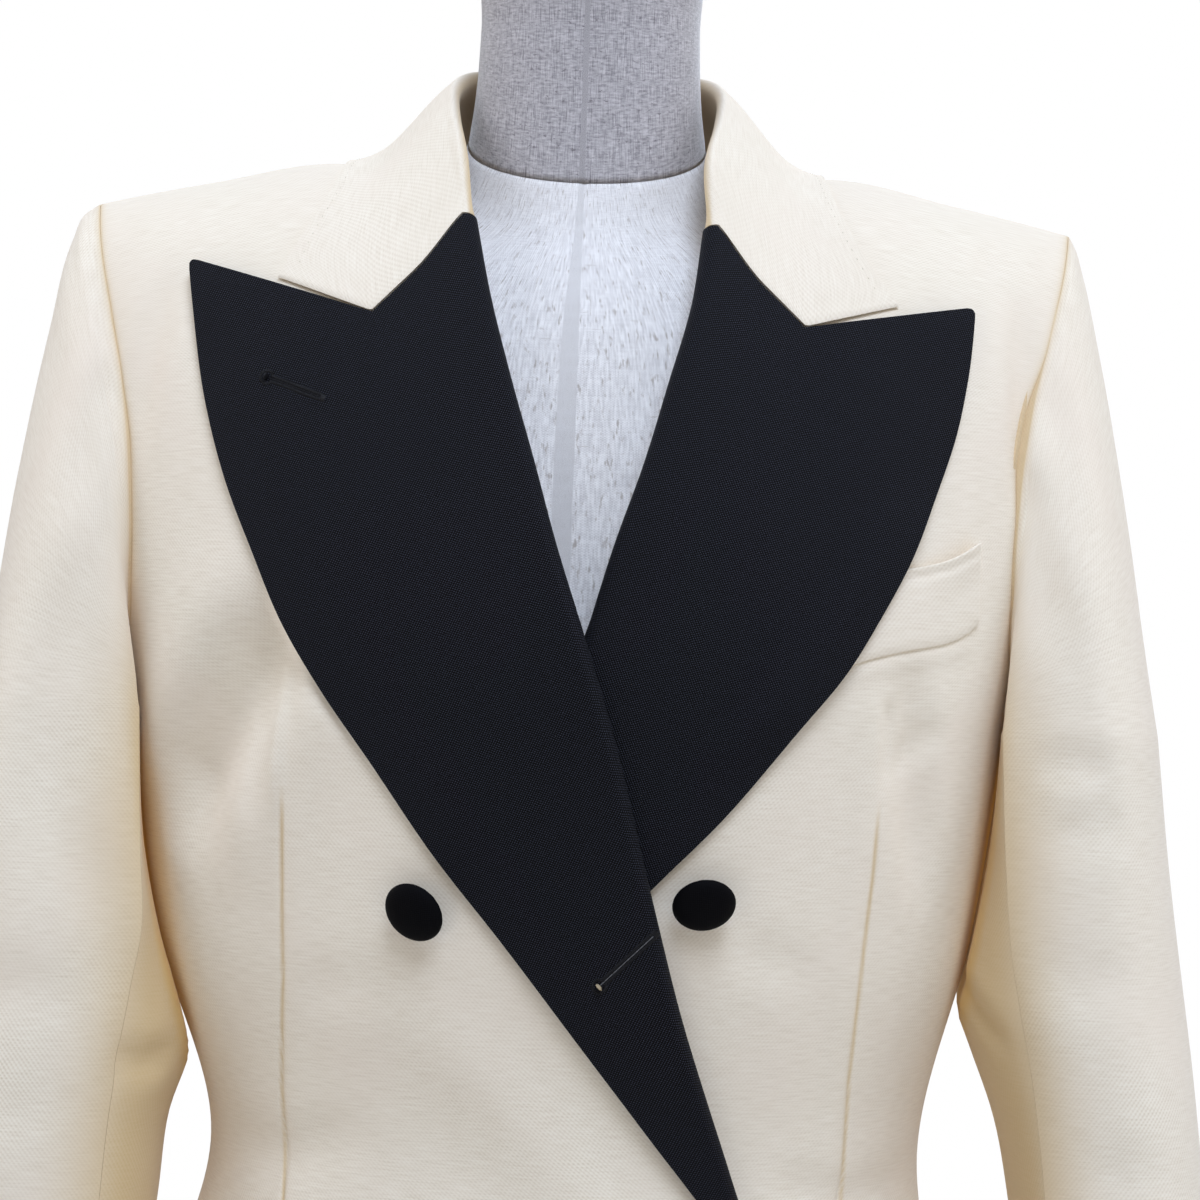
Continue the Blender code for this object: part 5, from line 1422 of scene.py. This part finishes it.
def sew_buttonhole(name, eyelet, end, lapel, behind, slit):
    """A keyhole buttonhole worked in thread, and slivers in its eyelet and its slit painted with the shade
    of what is seen through them.
    """
    starts, ends = keyhole(eyelet, end)
    start_points, out = on_piece(lapel, starts)
    piece = stitches(name, start_points, on_piece(lapel, ends)[0], out, STITCH_RADIUS)
    finish_piece(piece, BLACK_THREAD_AND_SHADOW, "black_cloth")
    share = np.linspace(0, SLIT_SHARE, SLIT_PARTS + 1)[:, None]
    line, out = on_piece(lapel, blend(np.array(eyelet), np.array(end), share))
    steps = np.diff(line, axis=0)
    piece = stitches(name + "_opening", line[:-1], line[1:] + steps * SLIT_OVERLAP, out[:-1], SLIT * 1.2)
    finish_piece(piece, slit, "cream_cloth")
    middle = line[:1] + steps[0] * 0.2
    piece = stitches(name + "_eyelet", middle - steps[:1] * 0.6, middle, out[:1], EYELET * 0.9)
    finish_piece(piece, behind, "cream_cloth")


def sew_along(name, line, out):
    """Prick stitches along a line of points on the cloth."""
    along = reached(line)
    at = np.arange(PICK_GAP, along[-1] - PICK_GAP, PICK_GAP)
    starts, ends = [along_corners(where, along, line) for where in (at, at + PICK_LENGTH)]
    piece = stitches(name, starts, ends, unit(along_corners(at, along, out)), PICK_RADIUS)
    finish_piece(piece, CREAM_THREAD, "cream_cloth")


def sew():
    lapel = bpy.data.objects["lapel_right_cloth"]
    # the upper buttonhole's eyelet and slit are black painted shadow; the lower one's eyelet is a tan
    # painted shade of the cream cloth beneath, and its slit a dark grey painted shadow
    sew_buttonhole("buttonhole_upper", *HOLE_UPPER, lapel, BLACK_THREAD_AND_SHADOW, BLACK_THREAD_AND_SHADOW)
    sew_buttonhole("buttonhole_lower", *HOLE_LOWER, lapel, EYELET_PAINTED_SHADE, SLIT_PAINTED_SHADOW)
    face, inward, _ = collar_shape()
    ends = slice(PICK_ENDS, -PICK_ENDS)
    sew_along("collar_stitches", face[ends, -PICK_COLUMN], -inward[ends, -PICK_COLUMN])


# ---------------------------------------------------------------- dress form

def form_shape(table):
    """Rings of points up the dress form, and where they lie on its linen."""
    heights = column(table, 1)
    height = np.concatenate([np.linspace(low, high, FORM_STEPS, endpoint=False)
                             for low, high in zip(heights, heights[1:])] + [heights[-1:]])
    half, ahead, behind, tilt = [read(table, index, height)[:, None] for index in (2, 3, 4, 5)]
    turn = np.arange(FORM_SIDES) * 2 * np.pi / FORM_SIDES
    depth = np.where(np.cos(turn) > 0, ahead, behind)
    x = half * squared(np.sin(turn), 2 / FORM_ROUNDNESS)
    y = -depth * squared(np.cos(turn), 2 / FORM_ROUNDNESS)
    rings = np.stack([x, y, height[:, None] + tilt * y], -1)
    flat = np.stack(np.broadcast_arrays(turn * FORM_GIRTH, height[:, None]), -1)
    return rings, flat.reshape(-1, 2)


def dress_form():
    for name, table, material, slot in (
            ("form_torso", FORM, LINEN, "linen"), ("form_neck", NECK, NECK_LINEN, "neck_linen")):
        rings, flat = form_shape(table)
        if name == "form_torso":
            seam = FORM_SEAM_DEPTH * np.exp(-(rings[..., 0] / FORM_SEAM_WIDTH) ** 2)
            rings[..., 1] += seam * (rings[..., 1] < 0)
        piece = closed_mesh(name + "_linen", rings, tube_faces(*rings.shape[:2]), flat)
        finish_piece(piece, material, slot, name)


# ---------------------------------------------------------------- materials

class Finish:
    """A new material and short ways to add nodes to it. A cloth's threads follow its flat cut."""

    def __init__(self, name, roughness, **sockets):
        self.made = bpy.data.materials.new(name)
        self.made.use_nodes = True
        self.tree = self.made.node_tree
        self.shader = self.tree.nodes["Principled BSDF"]
        self.shader.inputs["Roughness"].default_value = roughness
        for socket, value in sockets.items():
            self.shader.inputs[socket.replace("_", " ")].default_value = value

    def node(self, kind, inputs, **settings):
        made = self.tree.nodes.new(kind)
        for key, value in settings.items():
            setattr(made, key, value)
        for key, value in inputs.items():
            if isinstance(value, bpy.types.NodeSocket):
                self.tree.links.new(value, made.inputs[key])
            else:
                made.inputs[key].default_value = value
        return made.outputs

    def math(self, operation, first, second=0.0):
        return self.node("ShaderNodeMath", {0: first, 1: second}, operation=operation)[0]

    def product(self, first, second):
        return self.math("MULTIPLY", first, second)

    def weighed(self, *terms):
        """The sum of (value, weight) pairs."""
        total = 0.0
        for value, weight in terms:
            total = self.math("ADD", self.product(value, weight), total)
        return total

    def noise(self, place, scale, detail=2.0, rough=0.5):
        inputs = {"Vector": place, "Scale": scale, "Detail": detail, "Roughness": rough}
        return self.node("ShaderNodeTexNoise", inputs)["Fac"]

    def object_place(self):
        return self.node("ShaderNodeTexCoord", {})["Object"]

    def cloth_place(self):
        """Where a point lies on the flat cloth, in metres."""
        place = self.node("ShaderNodeUVMap", {}, uv_map="cloth")["UV"]
        parts = self.node("ShaderNodeSeparateXYZ", {"Vector": place})
        return parts["X"], parts["Y"]

    def fibres(self, across, along, detail=2.0, rough=0.5):
        """Noise on the cloth, with that many grains in a metre each way."""
        u, v = self.cloth_place()
        inputs = {"X": self.product(u, across), "Y": self.product(v, along)}
        return self.noise(self.node("ShaderNodeCombineXYZ", inputs)["Vector"], 1.0, detail, rough)

    def threads(self, degrees, pitch, bend=0.0):
        """A wave across the cloth, from -1 to 1, whose crests run at an angle to its rows."""
        u, v = self.cloth_place()
        turn = math.radians(degrees)
        per_metre = 2 * math.pi / pitch
        across = self.weighed((u, -math.sin(turn) * per_metre), (v, math.cos(turn) * per_metre))
        return self.math("SINE", self.math("ADD", across, bend))

    def ramp(self, value, *stops):
        made = self.node("ShaderNodeValToRGB", {"Fac": value})
        ramp = made["Color"].node.color_ramp
        while len(ramp.elements) < len(stops):
            ramp.elements.new(0.5)
        for element, (at, colour) in zip(ramp.elements, stops):
            element.position = at
            element.color = (*colour, 1.0)
        return made["Color"]

    def mixed(self, share, ground, colour):
        inputs = {0: share, 6: ground, 7: (*colour, 1.0)}
        return self.node("ShaderNodeMix", inputs, data_type="RGBA")[2]

    def use(self, colour, height, distance, strength, roughness=None):
        self.tree.links.new(colour, self.shader.inputs["Base Color"])
        if roughness is not None:
            self.tree.links.new(roughness, self.shader.inputs["Roughness"])
        bump = self.node("ShaderNodeBump", {"Height": height, "Distance": distance, "Strength": strength})
        self.tree.links.new(bump["Normal"], self.shader.inputs["Normal"])
        return self.made


def cream_wool():
    """Fine cream wool: level ribs with slubs, and a twill line that shows through in places, with painted
    shade and a painted glow in folds and seams.
    """
    finish = Finish("cream_wool", 0.85, Sheen_Weight=0.20, Sheen_Roughness=0.5, Specular_IOR_Level=0.12)
    waver = finish.product(finish.fibres(45, 160), 1.6)
    twill = finish.threads(TWILL_ANGLE, TWILL_PITCH, waver)
    weft = finish.threads(-TWILL_ANGLE, TWILL_PITCH, waver)
    slubs = finish.fibres(90, 1300, 3.0, 0.6)
    patch = finish.fibres(9, 14)
    twilled = finish.product(finish.weighed((twill, 0.7), (weft, 0.3)), finish.product(patch, patch))
    height = finish.weighed((twilled, 0.55), (slubs, 0.9), (0.05, 1.0))
    tone = finish.weighed((height, 1.0), (patch, 0.2), (-0.10, 1.0))
    plain = finish.ramp(tone, (0.20, CREAM_LOW), (0.50, CREAM_MIDDLE), (0.80, CREAM_HIGH))
    blush = finish.fibres(16, 11)
    woven = finish.mixed(finish.product(blush, blush), plain, CREAM_BLUSH)
    # painted shade: the colour turns golden where the mesh's shade attribute is high, in folds and seams
    painted_shade = finish.node("ShaderNodeAttribute", {}, attribute_name="painted_shade")["Fac"]
    colour = finish.mixed(painted_shade, woven, CREAM_PAINTED_SHADE)
    # painted glow: emission in the deepest painted shade, standing for light bounced between the cloth
    finish.shader.inputs["Emission Color"].default_value = (*CREAM_GLOW, 1.0)
    deepest = finish.math("MAXIMUM", finish.math("SUBTRACT", painted_shade, GLOW_FROM), 0.0)
    glow = finish.product(deepest, GLOW_STRENGTH)
    finish.tree.links.new(glow, finish.shader.inputs["Emission Strength"])
    rough = finish.weighed((slubs, 0.12), (0.80, 1.0))
    return finish.use(colour, height, 0.00010, 0.6, rough)


def black_barathea():
    """Black cloth with a fine broken grain of its own, whose raised threads have a painted highlight, a
    lighter bluish tone.
    """
    finish = Finish("black_barathea", 0.7, Sheen_Weight=0.01, Sheen_Roughness=0.4, Specular_IOR_Level=0.10)
    bend = finish.product(finish.fibres(260, 260), 2.2)
    one = finish.threads(62, GRAIN_PITCH, bend)
    other = finish.threads(-24, GRAIN_PITCH * 0.9, bend)
    fibres = finish.fibres(1500, 1500)
    grain = finish.weighed((finish.product(one, other), 0.42), (fibres, 0.36), (0.30, 1.0))
    colour = finish.ramp(grain, (0.32, BLACK_LOW), (0.56, BLACK_MIDDLE), (0.84, BLACK_PAINTED_HIGHLIGHT))
    rough = finish.weighed((grain, 0.2), (0.55, 1.0))
    return finish.use(colour, grain, 0.00025, 1.0, rough)


def button_cloth():
    """The buttons' cover: plain weave, stretched tight."""
    finish = Finish("button_cloth", 0.7, Specular_IOR_Level=0.05)
    one = finish.threads(8, BUTTON_PITCH)
    other = finish.threads(98, BUTTON_PITCH)
    grain = finish.weighed((one, 0.12), (other, 0.12), (finish.fibres(1800, 1800), 0.4), (0.3, 1.0))
    colour = finish.ramp(grain, (0.25, (0.0008, 0.0008, 0.001)), (0.85, (0.0055, 0.0055, 0.0075)))
    return finish.use(colour, grain, 0.00010, 0.6)


def linen(name, low, high, fleck, cross, nap):
    """Plain linen: uneven threads both ways, with darker flecks in them.

    cross: how much of the level threads shows beside the upright ones."""
    finish = Finish(name, 0.9, Sheen_Weight=nap, Sheen_Roughness=0.35, Specular_IOR_Level=0.2)
    warp = finish.fibres(1300, 110, 3.0, 0.6)
    weft = finish.fibres(110, 1300, 3.0, 0.6)
    ribs = finish.product(finish.threads(0, LINEN_PITCH), finish.threads(90, LINEN_PITCH))
    height = finish.weighed((warp, 1.0 - cross), (weft, cross), (ribs, 0.08))
    ground = finish.ramp(height, (0.36, low), (0.62, high))
    upright = finish.fibres(800, 150, 2.0, 0.6)
    level = finish.fibres(150, 800, 2.0, 0.6)
    spots = finish.math("MAXIMUM", upright, finish.product(level, 0.72 + 0.5 * cross))
    mask = finish.ramp(spots, (0.58, (0, 0, 0)), (0.70, (0.8, 0.8, 0.8)))
    return finish.use(finish.mixed(mask, ground, fleck), height, 0.00022, 0.9)


def thread(name, colour, roughness):
    """Sewing thread, twisted; the same finish also paints the shade and shadow seen in the buttonholes'
    openings.
    """
    finish = Finish(name, roughness, Specular_IOR_Level=0.25)
    fibres = finish.noise(finish.object_place(), 2600.0)
    low = tuple(part * 0.7 for part in colour)
    return finish.use(finish.ramp(fibres, (0.3, low), (0.7, colour)), fibres, 0.00005, 0.6)


def dark_metal():
    """Black lacquered metal, faintly uneven."""
    finish = Finish("dark_metal_lacquer", 0.35, Specular_IOR_Level=0.5, Coat_Weight=0.3, Coat_Roughness=0.2)
    fine = finish.noise(finish.object_place(), 900.0, 3.0)
    broad = finish.noise(finish.object_place(), 14.0, 3.0)
    colour = finish.ramp(broad, (0.3, (0.012, 0.012, 0.013)), (0.7, (0.022, 0.021, 0.020)))
    rough = finish.weighed((broad, 0.25), (fine, 0.15), (0.2, 1.0))
    return finish.use(colour, fine, 0.00004, 0.5, rough)


def beech():
    """Pale turned beech with short dark rays."""
    finish = Finish("turned_beech", 0.45, Specular_IOR_Level=0.4)
    parts = []
    for scale, detail in (((22.0, 300.0, 300.0), 4.0), ((160.0, 1400.0, 1400.0), 1.0)):
        inputs = {"Vector": finish.object_place(), "Scale": scale}
        parts.append(finish.noise(finish.node("ShaderNodeMapping", inputs)["Vector"], 1.0, detail))
    tone = finish.weighed((parts[0], 0.75), (parts[1], 0.25))
    colour = finish.ramp(tone, (0.30, (0.33, 0.19, 0.09)), (0.70, (0.58, 0.40, 0.23)))
    return finish.use(colour, tone, 0.00010, 0.5)


def floor_paint():
    finish = Finish("floor_paint", 0.8, Specular_IOR_Level=0.2)
    broad = finish.noise(finish.object_place(), 3.0, 3.0)
    colour = finish.ramp(broad, (0.3, (0.80, 0.80, 0.80)), (0.7, (0.84, 0.84, 0.84)))
    return finish.use(colour, finish.noise(finish.object_place(), 400.0), 0.0001, 0.3)


# ---------------------------------------------------------------- stand, floor, light and camera

def dress_stand():
    for name, material in (("base", METAL), ("pole", METAL), ("socket", BEECH)):
        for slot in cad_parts[name].material_slots:
            slot.material = material


def lay_floor():
    mesh = bpy.data.meshes.new("floor")
    corners = [(x * FLOOR_REACH, y * FLOOR_REACH, 0) for x, y in ((-1, -1), (1, -1), (1, 1), (-1, 1))]
    mesh.from_pydata(corners, [], [(0, 1, 2, 3)])
    floor = bpy.data.objects.new("floor", mesh)
    bpy.context.scene.collection.objects.link(floor)
    mesh.materials.append(floor_paint())


def area_light(name, place, target, size, power, colour):
    light = bpy.data.lights.new(name, "AREA")
    light.shape = "DISK"
    light.size = size
    light.energy = power
    light.color = colour
    lamp = bpy.data.objects.new(name, light)
    lamp.location = place
    lamp.rotation_euler = (Vector(target) - Vector(place)).to_track_quat("-Z", "Y").to_euler()
    lamp.visible_camera = False
    bpy.context.scene.collection.objects.link(lamp)


def light_world():
    """A white backdrop, and for the light itself a softer world that is warmer below."""
    world = bpy.data.worlds.new("studio")
    world.use_nodes = True
    bpy.context.scene.world = world
    nodes = world.node_tree.nodes
    backdrop = nodes["Background"]
    backdrop.inputs["Color"].default_value = (1.0, 1.0, 1.0, 1.0)
    backdrop.inputs["Strength"].default_value = 1.0
    around = nodes.new("ShaderNodeBackground")
    around.inputs["Strength"].default_value = AMBIENT_STRENGTH
    direction = nodes.new("ShaderNodeTexCoord")
    parts = nodes.new("ShaderNodeSeparateXYZ")
    spread = nodes.new("ShaderNodeMapRange")
    spread.inputs["From Min"].default_value = -1.0
    ramp = nodes.new("ShaderNodeValToRGB")
    ramp.color_ramp.elements[0].color = (*AMBIENT_BELOW, 1.0)
    ramp.color_ramp.elements[1].color = (*AMBIENT_ABOVE, 1.0)
    path = nodes.new("ShaderNodeLightPath")
    mix = nodes.new("ShaderNodeMixShader")
    for source, target in (
            (direction.outputs["Generated"], parts.inputs[0]),
            (parts.outputs["Z"], spread.inputs["Value"]),
            (spread.outputs[0], ramp.inputs[0]),
            (ramp.outputs[0], around.inputs["Color"]),
            (path.outputs["Is Camera Ray"], mix.inputs[0]),
            (around.outputs[0], mix.inputs[1]),
            (backdrop.outputs[0], mix.inputs[2]),
            (mix.outputs[0], nodes["World Output"].inputs["Surface"])):
        world.node_tree.links.new(source, target)


def light_scene():
    light_world()
    for row in LIGHTS:
        area_light(*row)
    bpy.context.scene.view_settings.view_transform = "Standard"
    bpy.context.scene.cycles.diffuse_bounces = DIFFUSE_BOUNCES


def place_camera():
    """Straight ahead of the chest, near enough that the picture's edges cut the garment."""
    camera_data = bpy.data.cameras.new("camera")
    camera_data.lens = CAMERA_LENS
    camera_data.sensor_width = 36.0
    camera = bpy.data.objects.new("camera", camera_data)
    camera.matrix_world = (Matrix.Translation(CAMERA_PLACE) @ Matrix.Rotation(math.radians(90), 4, "X")
                           @ Matrix.Rotation(CAMERA_ROLL, 4, "Z"))
    bpy.context.scene.collection.objects.link(camera)
    bpy.context.scene.camera = camera


CREAM = cream_wool()
BLACK = black_barathea()
BUTTON_CLOTH = button_cloth()
LINEN = linen("chest_linen", LINEN_LOW, LINEN_HIGH, LINEN_FLECK, 0.3, 0.15)
NECK_LINEN = linen("neck_linen_cloth", NECK_LOW, NECK_HIGH, NECK_FLECK, 0.5, 0.9)
# black thread, also the painted shadow in the upper buttonhole's eyelet and slit
BLACK_THREAD_AND_SHADOW = thread("black_thread_and_painted_shadow", (0.010, 0.010, 0.013), 0.5)
CREAM_THREAD = thread("cream_thread", (0.82, 0.75, 0.62), 0.8)
# not thread: the painted shade of the cream cloth seen through the lower buttonhole's eyelet, and the
# painted shadow in its slit
EYELET_PAINTED_SHADE = thread("eyelet_painted_shade", (0.50, 0.41, 0.27), 0.7)
SLIT_PAINTED_SHADOW = thread("slit_painted_shadow", (0.15, 0.15, 0.16), 0.6)
METAL = dark_metal()
BEECH = beech()

dress_form()
dress_panels()
dress_sleeves()
dress_lapels()
dress_collar()
dress_welt()
dress_buttons()
sew()
dress_stand()
lay_floor()
light_scene()
place_camera()
